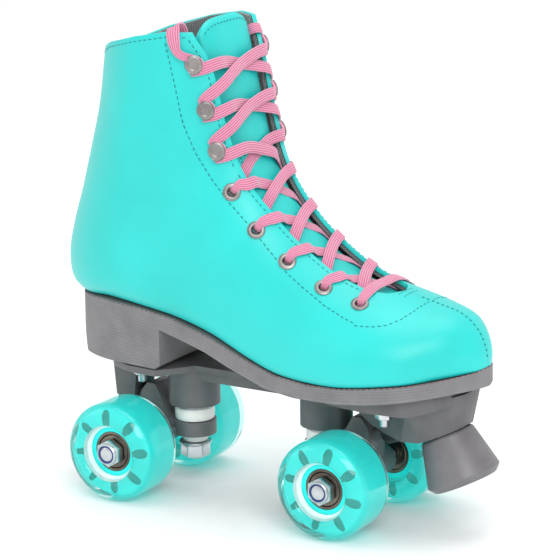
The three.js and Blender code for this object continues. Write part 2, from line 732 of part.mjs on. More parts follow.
// The nose under the toe: its lower and upper outlines on the left side, as x, y, z.
const NOSE_LOWER = [
  [78, 12, 55], [84, 14.5, 52.5], [96, 17, 49.8], [106.5, 17.4, 50.8],
  [112.6, 15.6, 53.1], [117.6, 13, 55], [122, 10, 57.1], [125.5, 6.4, 58.9],
];
const NOSE_UPPER = [
  [75, 13, 70], [84, 15.5, 70], [96.5, 17.6, 71], [104.5, 27, 72.8],
  [112, 23.8, 74.4], [119, 19.4, 75.9], [125, 14, 77.1], [129, 8, 78],
];

// Two cheeks run back from the nose to the front kingpin boss, one on each side of the truck's arm.
const CHEEK_INNER_Y = 11.6;
const CHEEK_OUTER_Y = 14.4;
const CHEEK_OUTLINE = [
  [KINGPIN_X + 4, 69], [KINGPIN_X + 4, 63.8], [64, 63.8], [69, 61.6], [77, 55.6], [84, 53], [87, 69],
];

function addPlate(group) {
  const plan = [...FLANGE_PLAN, ...FLANGE_PLAN.map(([x, y]) => [x, -y]).reverse()];
  const flange = toSolid(sideSlab(FLANGE_SIDE, -50, 50)).intersect(toSolid(planSlab(plan, 55, 95)));
  const beam = sideSlab([[-84, BEAM_BOTTOM_Z], [104, BEAM_BOTTOM_Z], [104, 70], [-86, 70]], -BEAM_HALF_WIDTH,
    BEAM_HALF_WIDTH);
  const rearPivotOutline = [[-88, 69], [-86, 47.5], [-75, 43.5], [-72, 69]];
  const rearPivotBoss = sideSlab(rearPivotOutline, -BEAM_HALF_WIDTH, BEAM_HALF_WIDTH);
  const nose = loft([NOSE_LOWER, NOSE_UPPER].map((line) => {
    const left = line.map(([x, y, z]) => new THREE.Vector3(x, y, z));
    const right = line.map(([x, y, z]) => new THREE.Vector3(x, -y, z)).reverse();
    return [...left, ...right];
  }));
  const kingpinBosses = [-KINGPIN_X, KINGPIN_X].map((x) => uprightCylinder(14, BOSS_BOTTOM_Z, 69, x, 0, 24));
  const cheeks = [-1, 1].map((side) => {
    const edges = [side * CHEEK_INNER_Y, side * CHEEK_OUTER_Y].sort((a, b) => a - b);
    return sideSlab(CHEEK_OUTLINE, ...edges);
  });
  const body = flange.add(union([beam, rearPivotBoss, nose, ...cheeks, ...kingpinBosses]));
  const bores = [-KINGPIN_X, KINGPIN_X].map((x) => uprightCylinder(KINGPIN_RADIUS + GAP, 40, 66, x, 0, 16));
  const pocket = pivotCylinder(6.5 + GAP, -14, 5.2);
  const stopBore = stopFrame(uprightCylinder(7.5 + GAP, -8, 18, 0, 0, 20));
  const plate = cutAll(body, [...bores, pocket, mirrored(pocket), ...mountHoles(), stopBore]);
  part(group, "base_plate", plate, "plate");
}

function hexPrism(acrossFlats, zMin, zMax, bore, x, y) {
  const hex = uprightCylinder(acrossFlats / Math.sqrt(3), zMin, zMax, x, y, 6);
  return cutAll(toSolid(hex), [uprightCylinder(bore, zMin - 1, zMax + 1, x, y, 12)]);
}

function addMountBolts(group) {
  for (const [end, { x, y }] of Object.entries(MOUNT_BOLTS)) {
    for (const [side, sign] of [["left", 1], ["right", -1]]) {
      const headBottom = boardTopAt(x) - HEAD_DEPTH;
      const shank = uprightCylinder(MOUNT_BOLT_RADIUS, 59.8, headBottom + 1, x, sign * y, 10);
      const headTop = headBottom + HEAD_THICKNESS;
      const head = uprightCylinder(MOUNT_HEAD_RADIUS, headBottom, headTop, x, sign * y, 12);
      part(group, `${end}_${side}_mount_bolt`, union([shank, head]), "steel");
      const nut = hexPrism(MOUNT_NUT_ACROSS, 64, FLANGE_BOTTOM_Z - GAP, MOUNT_BOLT_RADIUS + GAP, x, sign * y);
      part(group, `${end}_${side}_mount_nut`, nut, "steel");
    }
  }
}

function addToeStop(group) {
  const profile = [
    [0, -STOP_HEIGHT], [17.2, -STOP_HEIGHT], [20, -STOP_HEIGHT + 3], [14.6, -2], [13.8, -GAP], [0, -GAP],
  ];
  const lathe = new THREE.LatheGeometry(profile.map(([r, z]) => new THREE.Vector2(r, z)), 28);
  const pocket = uprightCylinder(7.5 + GAP, -14, 5, 0, 0, 20);
  const rubber = toSolid(outward(lathe.rotateX(Math.PI / 2)));
  part(group, "toe_stop", toSolid(stopFrame(toGeometry(cutAll(rubber, [pocket])))), "stop");
  const stem = stopFrame(uprightCylinder(7.5, -13.6, 17.6, 0, 0, 20));
  part(group, "toe_stop_bolt", toSolid(stem), "steel");
}

// ---------- trucks ----------

// Built as the front truck, with its kingpin inboard (-x) and its pivot outboard (+x).
function hangerSolid() {
  const ringBottom = RING_Z - RING_HEIGHT / 2;
  const ring = uprightCylinder(RING_RADIUS, ringBottom, ringBottom + RING_HEIGHT, KINGPIN_X, 0, 24);
  const tube = crossCylinder(8, -17.8, 17.8, HALF_BASE, AXLE_Z, 20);
  const web = sideSlab([
    [KINGPIN_X + 8, 31], [KINGPIN_X + 8, 37.5], [54, 38.5], [58.5, 50], [62, 56],
    [67, 56], [71, 51], [72.5, 43], [72, 30],
    [66, 20.5], [58, 24],
  ], -8, 8);
  const wing = planSlab([
    [KINGPIN_X + 3, 9], [HALF_BASE - 2, 16.5], [HALF_BASE + 4, 16.5], [HALF_BASE + 4, -16.5],
    [HALF_BASE - 2, -16.5], [KINGPIN_X + 3, -9],
  ], 30.4, 34);
  const stem = pivotCylinder(4, -14, 3.5);
  const body = union([ring, tube, web, wing, stem]);
  return cutAll(body, [
    uprightCylinder(6.2, 10, 60, KINGPIN_X, 0, 20),
    crossCylinder(AXLE_RADIUS + GAP, -30, 30, HALF_BASE, AXLE_Z, 16),
  ]);
}

function pivotCup() {
  const outside = toSolid(pivotCylinder(6.5, -4.5, 4.9));
  return cutAll(outside, [pivotCylinder(4 + GAP, -6, 3.9)]);
}

function addTruck(group, end) {
  const ringBottom = RING_Z - RING_HEIGHT / 2;
  const ringTop = RING_Z + RING_HEIGHT / 2;
  const bore = KINGPIN_RADIUS + GAP;
  const place = (shape) => shape.translate(KINGPIN_X, 0, 0);
  part(group, `${end}_hanger`, hangerSolid(), "hanger");
  const axle = crossCylinder(AXLE_RADIUS, -AXLE_HALF_LENGTH, AXLE_HALF_LENGTH, HALF_BASE, AXLE_Z, 16);
  part(group, `${end}_axle`, toSolid(axle), "steel");
  const kingpin = uprightCylinder(KINGPIN_RADIUS, KINGPIN_BOTTOM_Z, 65.5, KINGPIN_X, 0, 16);
  part(group, `${end}_kingpin`, toSolid(kingpin), "steel");
  part(group, `${end}_upper_washer`, place(washer(bore, 11.5, 45.5, BOSS_BOTTOM_Z - GAP)), "steel");
  part(group, `${end}_upper_cushion`, place(washer(bore, 11, ringTop + GAP, 45.2)), "cushion");
  part(group, `${end}_lower_cushion`, place(washer(bore, 8, 25.6, ringBottom - GAP)), "cushion");
  part(group, `${end}_lower_washer`, place(washer(bore, 9, 24, 25.3)), "steel");
  part(group, `${end}_kingpin_nut`, hexPrism(14, 17, 23.7, bore, KINGPIN_X, 0), "steel");
  part(group, `${end}_pivot_cup`, pivotCup(), "nylon");
}

// ---------- wheels ----------

// Wheel parts are turned about Y round the wheel's own centre; +y is the outboard side.
function tyreSolid() {
  const half = WHEEL_WIDTH / 2;
  const flat = WHEEL_RADIUS / Math.cos(Math.PI / WHEEL_SIDES);
  const side = [
    [13.4, CORE_HALF + GAP], [13.4, BEARING_FACE + 0.2], [16.4, half - 0.6],
    [18, half], [23.2, half], [flat, half - 3.2],
  ];
  const mirroredSide = side.map(([r, y]) => [r, -y]).reverse();
  const seat = CORE_HALF + GAP;
  const profile = [[21.8, seat], ...side, ...mirroredSide, [21.8, -seat]];
  return outward(turnedAcross(profile, WHEEL_SIDES));
}

function hubSolid() {
  const sides = 16;
  const seat = BEARING_OUTER_RADIUS + 0.1;
  const profile = [
    [9.2, -1.8], [seat, -1.8], [seat, -BEARING_FACE],
    [13.1, -BEARING_FACE], [13.1, -CORE_HALF], [21.5, -CORE_HALF],
    [21.5, CORE_HALF], [13.1, CORE_HALF], [13.1, BEARING_FACE],
    [seat, BEARING_FACE], [seat, 1.8], [9.2, 1.8],
  ];
  const ring = toSolid(outward(turnedAcross(profile, sides)));
  const windows = [];
  for (let i = 0; i < 8; i += 1) {
    const window = new THREE.CylinderGeometry(2.7, 2.7, 20, 6).scale(1.22, 1, 1).translate(17.4, 0, 0);
    windows.push(window.rotateY((i * Math.PI) / 4 + Math.PI / sides));
  }
  return cutAll(ring, windows);
}

function bearingSolid() {
  const [inner, outer] = [BEARING_BORE_RADIUS, BEARING_OUTER_RADIUS];
  const half = BEARING_WIDTH / 2;
  const profile = [[inner, -half], [outer, -half], [outer, half], [inner, half]];
  return outward(turnedAcross(profile, 16));
}

function axleNut() {
  const nut = hexPrism(13, 0, 6.9, AXLE_RADIUS + GAP, 0, 0);
  return toGeometry(nut).rotateX(-Math.PI / 2);
}

// One wheel in a group whose +y points outboard.
function addWheel(group, name) {
  part(group, `${name}_tyre`, tyreSolid(), "tyre");
  part(group, `${name}_hub`, hubSolid(), "hub");
  const bearingMiddle = BEARING_FACE - BEARING_WIDTH / 2;
  part(group, `${name}_bearing_outboard`, bearingSolid(), "bearing").position.y = bearingMiddle;
  part(group, `${name}_bearing_inboard`, bearingSolid(), "bearing").position.y = -bearingMiddle;
  part(group, `${name}_axle_nut`, axleNut(), "steel").position.y = BEARING_FACE + GAP;
}

function addWheels(skate) {
  for (const [end, x] of [["front", HALF_BASE], ["rear", -HALF_BASE]]) {
    for (const [side, sign] of [["left", 1], ["right", -1]]) {
      const wheel = new THREE.Group();
      wheel.position.set(x, (sign * TRACK) / 2, AXLE_Z);
      wheel.rotation.z = sign > 0 ? 0 : Math.PI;
      addWheel(wheel, `${end}_${side}`);
      skate.add(wheel);
    }
  }
}

// ---------- the skate ----------

function buildSkate() {
  const skate = new THREE.Group();
  skate.position.x = -BOX_CENTRE_X;
  addUppers(skate);
  addLining(skate);
  addTongue(skate);
  addFootbeds(skate);
  addOutsole(skate);
  addLace(skate);
  addPlate(skate);
  addMountBolts(skate);
  addToeStop(skate);
  const frontTruck = new THREE.Group();
  addTruck(frontTruck, "front");
  const rearTruck = new THREE.Group();
  rearTruck.rotation.z = Math.PI;
  addTruck(rearTruck, "rear");
  skate.add(frontTruck, rearTruck);
  addWheels(skate);
  const root = new THREE.Group();
  root.add(skate);
  return root;
}

export default buildSkate();
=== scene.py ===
"""A laced high-top quad roller skate: its finishes and its visible pieces, built round the fixed frame."""

from __future__ import annotations

import logging
import math
from dataclasses import dataclass, field
from enum import Enum
from typing import Iterable, Sequence

import bmesh
import bpy
import numpy as np
from mathutils import Matrix, Vector

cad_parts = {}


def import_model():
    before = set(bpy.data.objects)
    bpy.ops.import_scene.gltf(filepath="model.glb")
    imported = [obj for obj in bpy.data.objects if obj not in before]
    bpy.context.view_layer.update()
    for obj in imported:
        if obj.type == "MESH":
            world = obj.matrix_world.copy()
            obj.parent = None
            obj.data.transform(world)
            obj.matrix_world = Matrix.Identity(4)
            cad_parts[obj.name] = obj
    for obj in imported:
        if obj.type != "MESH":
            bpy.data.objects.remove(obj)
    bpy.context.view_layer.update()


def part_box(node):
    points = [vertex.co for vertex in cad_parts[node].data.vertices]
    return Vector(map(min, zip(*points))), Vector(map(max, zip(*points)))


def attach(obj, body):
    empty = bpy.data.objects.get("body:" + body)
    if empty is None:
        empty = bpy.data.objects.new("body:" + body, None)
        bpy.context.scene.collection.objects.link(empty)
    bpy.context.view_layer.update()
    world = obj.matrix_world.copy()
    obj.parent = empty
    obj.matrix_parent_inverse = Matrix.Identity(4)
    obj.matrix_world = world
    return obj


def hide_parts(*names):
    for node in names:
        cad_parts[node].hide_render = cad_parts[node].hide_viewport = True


LOG = logging.getLogger("skate")
MM = 0.001
Array = np.ndarray
Pair = tuple[float, float]
Triple = tuple[float, float, float]
Run = tuple[Array, Array]
Faces = list[tuple[int, ...]]
Socket = bpy.types.NodeSocket
Object = bpy.types.Object

# The body that everything fixed to the boot and plate rides on.
CHASSIS = "chassis"

# Numbers of the boot's sections where its shape changes.
OPENING_STARTS = 5.2
ANKLE = 14.0
OPENING_EVEN = 18

# Sizes of the soft change of colour on leather and on the rest, in millimetres.
CLOUD_ON_LEATHER = 60
CLOUD = 14


# ---------------------------------------------------------------- small tools


def linear(hex_colour: str) -> tuple[float, float, float, float]:
    """Turns an sRGB hex colour into Blender's linear values.

    Args:
        hex_colour: Six hex digits, with or without a leading hash.

    Returns:
        Red, green, blue and an alpha of one.
    """
    digits = hex_colour.lstrip("#")
    out = []
    for i in (0, 2, 4):
        value = int(digits[i : i + 2], 16) / 255
        out.append(value / 12.92 if value <= 0.04045 else ((value + 0.055) / 1.055) ** 2.4)
    return (out[0], out[1], out[2], 1.0)


def per_metre(size_mm: float) -> float:
    """The scale of a pattern on Object coordinates whose feature is size_mm across."""
    return 1.0 / (size_mm * MM)


def catmull_rom(corners: Sequence[Array], t: float) -> Array:
    """The value between the second and third of four corners, by a Catmull-Rom spline.

    Args:
        corners: Four values in a row.
        t: The share of the way from the second to the third.

    Returns:
        The value there.
    """
    a, b, c, d = corners
    u = t * t
    return 0.5 * (2 * b + (c - a) * t + (2 * a - 5 * b + 4 * c - d) * u + (3 * b - a - 3 * c + d) * u * t)


def run_along(path: Array) -> Array:
    """The distance along a path at each of its points."""
    return np.concatenate([[0], np.cumsum(np.linalg.norm(np.diff(path, axis=0), axis=1))])


def even(path: Array, run: Array, want: Array) -> Array:
    """Points of a path at wanted distances along it."""
    return np.stack([np.interp(want, run, path[:, k]) for k in range(path.shape[1])], -1)


def eased(path: Array, passes: int) -> Array:
    """A path with its points drawn towards their neighbours, several times over."""
    for _ in range(passes):
        path[1:-1] = 0.25 * path[:-2] + 0.5 * path[1:-1] + 0.25 * path[2:]
    return path


def unit(vectors: Array) -> Array:
    """Rows of vectors made one long."""
    return vectors / np.linalg.norm(vectors, axis=1, keepdims=True)


def nothing_selected() -> None:
    """Leaves edit mode and deselects every object."""
    if bpy.context.object is not None and bpy.context.object.mode != "OBJECT":
        bpy.ops.object.mode_set(mode="OBJECT")
    bpy.ops.object.select_all(action="DESELECT")


def only(obj: Object) -> Object:
    """Makes obj the only selected and the active object."""
    nothing_selected()
    obj.select_set(True)
    bpy.context.view_layer.objects.active = obj
    return obj


def mesh_object(name: str, points: Array, faces: Sequence[Sequence[int]]) -> Object:
    """Makes an object from points in millimetres of the frame.

    Args:
        name: The piece's name.
        points: One row for each point.
        faces: The corner numbers of each face.

    Returns:
        The new object, at the origin.
    """
    mesh = bpy.data.meshes.new(name)
    mesh.from_pydata((np.asarray(points, float) * MM).tolist(), [], [list(f) for f in faces])
    mesh.update()
    return linked(name, mesh)


def grid_faces(rows: int, columns: int, wrap: bool = False, flip: bool = False) -> Faces:
    """The quads of a grid of points stored row by row.

    Args:
        rows: How many rows of points there are.
        columns: How many points a row has.
        wrap: Whether the last column joins the first.
        flip: Whether to turn the faces round.

    Returns:
        The corner numbers of each quad.
    """
    faces = []
    span = columns if wrap else columns - 1
    for i in range(rows - 1):
        for j in range(span):
            k = (j + 1) % columns
            quad = (i * columns + j, i * columns + k, (i + 1) * columns + k, (i + 1) * columns + j)
            faces.append(quad[::-1] if flip else quad)
    return faces


def recalculated(obj: Object, merge_mm: float = 0.01) -> Object:
    """Merges doubles and turns every face of a closed mesh outwards."""
    work = bmesh.new()
    work.from_mesh(obj.data)
    bmesh.ops.remove_doubles(work, verts=work.verts, dist=merge_mm * MM)
    bmesh.ops.dissolve_degenerate(work, edges=work.edges, dist=1e-7)
    bmesh.ops.recalc_face_normals(work, faces=work.faces)
    work.to_mesh(obj.data)
    work.free()
    return obj


def smooth(obj: Object, degrees: float = 35.0) -> Object:
    """Shades obj smooth where its faces meet at less than the angle."""
    only(obj)
    bpy.ops.object.shade_smooth_by_angle(angle=math.radians(degrees))
    return obj


def with_modifier(obj: Object, kind: str, **settings: object) -> Object:
    """Adds one modifier with its settings and applies it.

    Args:
        obj: The piece.
        kind: Blender's name of the modifier's type.
        **settings: Values for the modifier.

    Returns:
        The same piece.
    """
    only(obj)
    bpy.ops.object.modifier_add(type=kind)
    modifier = obj.modifiers[-1]
    for key, value in settings.items():
        setattr(modifier, key, value)
    bpy.ops.object.modifier_apply(modifier=modifier.name)
    return obj


def bevelled(obj: Object, width_mm: float, degrees: float, segments: int = 2) -> Object:
    """Rounds the edges of obj where its faces meet at more than the angle."""
    limit = math.radians(degrees)
    return with_modifier(
        obj, "BEVEL", width=width_mm * MM, segments=segments, limit_method="ANGLE", angle_limit=limit
    )


def cut(obj: Object, cutter: Object) -> Object:
    """Takes the cutter's volume out of obj and removes the cutter."""
    with_modifier(obj, "BOOLEAN", operation="DIFFERENCE", object=cutter, solver="EXACT")
    bpy.data.objects.remove(cutter)
    return obj


def linked(name: str, mesh: bpy.types.Mesh) -> Object:
    """A new object of the scene that shows a mesh."""
    obj = bpy.data.objects.new(name, mesh)
    bpy.context.scene.collection.objects.link(obj)
    return obj


def joined(name: str, parts: Sequence[Object]) -> Object:
    """Joins several objects into one and names it."""
    nothing_selected()
    for part in parts:
        part.select_set(True)
    bpy.context.view_layer.objects.active = parts[0]
    if len(parts) > 1:
        bpy.ops.object.join()
    parts[0].name = name
    parts[0].data.name = name
    return parts[0]


def settled(obj: Object) -> Object:
    """Applies obj's place, turn and size, so that it sits at the origin."""
    only(obj)
    bpy.ops.object.transform_apply(location=True, rotation=True, scale=True)
    return obj


def spun(name: str, profile: Sequence[Pair], steps: int = 64) -> Object:
    """Turns a closed profile of (radius, height) pairs in millimetres about Z.

    Args:
        name: The piece's name.
        profile: The corners of the profile, going round it.
        steps: How many steps the turn has.

    Returns:
        The turned solid, centred on the origin, in metres.
    """
    nothing_selected()
    mesh = bpy.data.meshes.new(name)
    points = [(max(r, 0.0) * MM, 0.0, z * MM) for r, z in profile]
    count = len(points)
    mesh.from_pydata(points, [(i, (i + 1) % count) for i in range(count)], [])
    obj = only(linked(name, mesh))
    bpy.ops.object.mode_set(mode="EDIT")
    bpy.ops.mesh.select_all(action="SELECT")
    bpy.ops.mesh.spin(steps=steps, angle=math.tau, center=(0, 0, 0), axis=(0, 0, 1))
    bpy.ops.mesh.select_all(action="SELECT")
    bpy.ops.mesh.remove_doubles(threshold=1e-6)
    bpy.ops.mesh.normals_make_consistent(inside=False)
    bpy.ops.object.mode_set(mode="OBJECT")
    recalculated(obj)
    return obj


def rounded_profile(corners: Sequence[Triple], steps: int = 5) -> list[Pair]:
    """Rounds the corners of a closed profile.

    Args:
        corners: Radius, height and rounding of each corner, in millimetres.
        steps: How many points a rounded corner has.

    Returns:
        The profile's points.
    """
    out: list[Pair] = []
    count = len(corners)
    for i, (r, z, fillet) in enumerate(corners):
        here = np.array([r, z])
        before = np.array(corners[i - 1][:2]) - here
        after = np.array(corners[(i + 1) % count][:2]) - here
        if fillet <= 0:
            out.append((r, z))
            continue
        reach = min(fillet, 0.45 * np.linalg.norm(before), 0.45 * np.linalg.norm(after))
        start = here + before / np.linalg.norm(before) * reach
        end = here + after / np.linalg.norm(after) * reach
        for k in range(steps):
            t = k / (steps - 1)
            point = (1 - t) ** 2 * start + 2 * t * (1 - t) * here + t * t * end
            out.append((float(point[0]), float(point[1])))
    return out


def turned_to(obj: Object, axis: Vector, centre: Vector) -> Object:
    """Turns a piece's Z to an axis, then moves its origin to a centre in metres, in its mesh."""
    turn = Vector((0, 0, 1)).rotation_difference(axis.normalized()).to_matrix().to_4x4()
    obj.data.transform(Matrix.Translation(centre) @ turn)
    return obj


def copied(obj: Object, name: str, matrix: Matrix) -> Object:
    """A copy of a piece with a mesh of its own, moved in its mesh."""
    twin = obj.copy()
    twin.data = obj.data.copy()
    twin.name = name
    twin.data.name = name
    twin.data.transform(matrix)
    if matrix.determinant() < 0:
        twin.data.flip_normals()
    bpy.context.scene.collection.objects.link(twin)
    return twin


def frame_centre(node: str) -> Vector:
    """The middle of a CAD node's box, in metres."""
    low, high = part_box(node)
    return (low + high) / 2


# ---------------------------------------------------------------- finishes


def add(tree: bpy.types.NodeTree, kind: str, settings: dict | None = None, **links: object) -> bpy.types.Node:
    """Adds a node with its settings and links.

    Args:
        tree: The node tree it goes in.
        kind: The node's type name.
        settings: Properties of the node, or values of its inputs by name or number.
        **links: For each input, by name with underscores for spaces, the output socket that feeds it.

    Returns:
        The new node.
    """
    node = tree.nodes.new(kind)
    for key, value in (settings or {}).items():
        if isinstance(key, int):
            node.inputs[key].default_value = value
        elif hasattr(node, key):
            setattr(node, key, value)
        else:
            node.inputs[key].default_value = value
    for key, source in links.items():
        numbered = key[0] == "n" and key[1:].isdigit()
        target = int(key[1:]) if numbered else key.replace("_", " ")
        tree.links.new(source, node.inputs[target])
    return node


def noise(tree: bpy.types.NodeTree, where: Socket, size_mm: float, detail: float) -> Socket:
    """A soft random pattern whose features are size_mm across."""
    settings = {"Scale": per_metre(size_mm), "Detail": detail}
    return add(tree, "ShaderNodeTexNoise", settings, Vector=where).outputs[0]


class Pattern(Enum):
    """The relief and colour pattern that a finish has."""

    LEATHER = "grained coating"
    WOVEN = "woven cloth"
    LACE = "woven ribs along the ribbon"
    MOULDED = "moulded plastic"
    CAST = "cast and powder coated"
    RIBBED = "moulded rubber with fine ribs"
    METAL = "plated metal"
    PLAIN = "smooth"


@dataclass(frozen=True)
class Finish:
    """One finish: what it is made of and how its surface was made."""

    name: str
    colour: str
    second: str
    pattern: Pattern
    roughness: float = 0.5
    metallic: float = 0.0
    ior: float = 1.5
    grain_mm: float = 1.0
    relief_mm: float = 0.05
    coat: float = 0.0
    coat_roughness: float = 0.2
    sheen: float = 0.0
    transmission: float = 0.0
    # Strength of a painted glow in the finish's own colour, used on parts that are no lamp.
    emission: float = 0.0

    def build(self) -> bpy.types.Material:
        """Makes the material with its nodes.

        Returns:
            The new material.
        """
        material = bpy.data.materials.new(self.name)
        material.use_nodes = True
        tree = material.node_tree
        tree.nodes.clear()
        shader = add(tree, "ShaderNodeBsdfPrincipled", self.sockets())
        add(tree, "ShaderNodeOutputMaterial", Surface=shader.outputs[0])
        place = add(tree, "ShaderNodeTexCoord")
        colour, height = self.relief(tree, place)
        tree.links.new(colour, shader.inputs["Base Color"])
        if height is not None:
            bump = add(
                tree,
                "ShaderNodeBump",
                {"Strength": 1.0, "Distance": self.relief_mm * MM},
                Height=height,
            )
            tree.links.new(bump.outputs[0], shader.inputs["Normal"])
        return material

    def sockets(self) -> dict:
        """The values set on the shader's own sockets."""
        return {
            "Roughness": self.roughness,
            "Metallic": self.metallic,
            "IOR": self.ior,
            "Coat Weight": self.coat,
            "Coat Roughness": self.coat_roughness,
            "Sheen Weight": self.sheen,
            "Transmission Weight": self.transmission,
            "Emission Color": linear(self.colour),
            "Emission Strength": self.emission,
        }

    def tinted(self, tree: bpy.types.NodeTree, factor: Socket) -> Socket:
        """Blends the finish's two colours by a factor."""
        ramp = add(tree, "ShaderNodeMix", {"data_type": "RGBA"})
        ramp.inputs[6].default_value = linear(self.colour)
        ramp.inputs[7].default_value = linear(self.second)
        tree.links.new(factor, ramp.inputs[0])
        return ramp.outputs[2]

    def relief(
        self, tree: bpy.types.NodeTree, place: bpy.types.Node
    ) -> tuple[Socket, Socket | None]:
        """The colour and height of the finish's pattern.

        Args:
            tree: The material's node tree.
            place: Its Texture Coordinate node.

        Returns:
            The colour output and the height output.
        """
        where = place.outputs["Object"]
        cloud = noise(tree, where, CLOUD_ON_LEATHER if self.pattern is Pattern.LEATHER else CLOUD, 3.0)
        soft = add(
            tree,
            "ShaderNodeMapRange",
            {"From Min": 0.35, "From Max": 0.65, "To Min": 0.0, "To Max": 1.0},
            Value=cloud,
        )
        colour = self.tinted(tree, soft.outputs[0])
        if self.pattern is Pattern.PLAIN:
            return colour, None
        if self.pattern is Pattern.LEATHER:
            cells = add(tree, "ShaderNodeTexVoronoi", {"Scale": per_metre(self.grain_mm)}, Vector=where)
            creases = noise(tree, where, self.grain_mm * 7, 4.0)
            height = add(
                tree,
                "ShaderNodeMath",
                {"operation": "ADD"},
                n0=cells.outputs["Distance"],
                n1=creases,
            )
            return colour, height.outputs[0]
        if self.pattern is Pattern.WOVEN:
            return self.woven(tree, where)
        if self.pattern is Pattern.LACE:
            return self.ribbon(tree, place.outputs["UV"])
        if self.pattern is Pattern.METAL:
            lines = add(tree, "ShaderNodeMapping", {"Scale": (1.0, 1.0, 12.0)}, Vector=where)
            return colour, noise(tree, lines.outputs[0], self.grain_mm, 2.0)
        return colour, noise(tree, where, self.grain_mm, 3.0)

    def woven(
        self, tree: bpy.types.NodeTree, where: Socket
    ) -> tuple[Socket, Socket]:
        """Two sets of threads at right angles, each grain_mm apart.

        Args:
            tree: The material's node tree.
            where: The coordinates that the threads follow.

        Returns:
            The colour output and the height output.
        """
        sets = [
            add(
                tree,
                "ShaderNodeTexWave",
                {
                    "bands_direction": direction,
                    "Scale": per_metre(self.grain_mm) / 20 * math.pi,
                    "Distortion": 0.6,
                },
                Vector=where,
            )
            for direction in ("X", "Z")
        ]
        both = add(
            tree, "ShaderNodeMath", {"operation": "MULTIPLY"}, n0=sets[0].outputs[1], n1=sets[1].outputs[1]
        )
        # Painted shade: low thread height takes the first colour, which is the darker one on the lining and
        # footbed.
        return self.tinted(tree, both.outputs[0]), both.outputs[0]

    def ribbon(
        self, tree: bpy.types.NodeTree, along: Socket
    ) -> tuple[Socket, Socket]:
        """Slanted ribs of a flat woven lace, read from its UV map in millimetres. The lower the ribs, the
        darker the colour: painted shade in the grooves.

        Args:
            tree: The material's node tree.
            along: The UV output.

        Returns:
            The colour output and the height output.
        """
        ribs = add(
            tree,
            "ShaderNodeTexWave",
            {"bands_direction": "Y", "Scale": math.pi / 10 / 1.3, "Distortion": 0.15, "Detail Scale": 1.5},
            Vector=along,
        )
        picks = add(
            tree,
            "ShaderNodeTexWave",
            {"bands_direction": "X", "Scale": math.pi / 10 / 0.9, "Distortion": 0.4},
            Vector=along,
        )
        both = add(
            tree, "ShaderNodeMath", {"operation": "MULTIPLY_ADD", 1: 0.25},
            n0=picks.outputs[1], n2=ribs.outputs[1]
        )
        # Painted shade: low rib height maps to the finish's darker second colour.
        shade = add(
            tree,
            "ShaderNodeMapRange",
            {"From Min": 0.1, "From Max": 0.9, "To Min": 1.0, "To Max": 0.0},
            Value=both.outputs[0],
        )
        return self.tinted(tree, shade.outputs[0]), both.outputs[0]


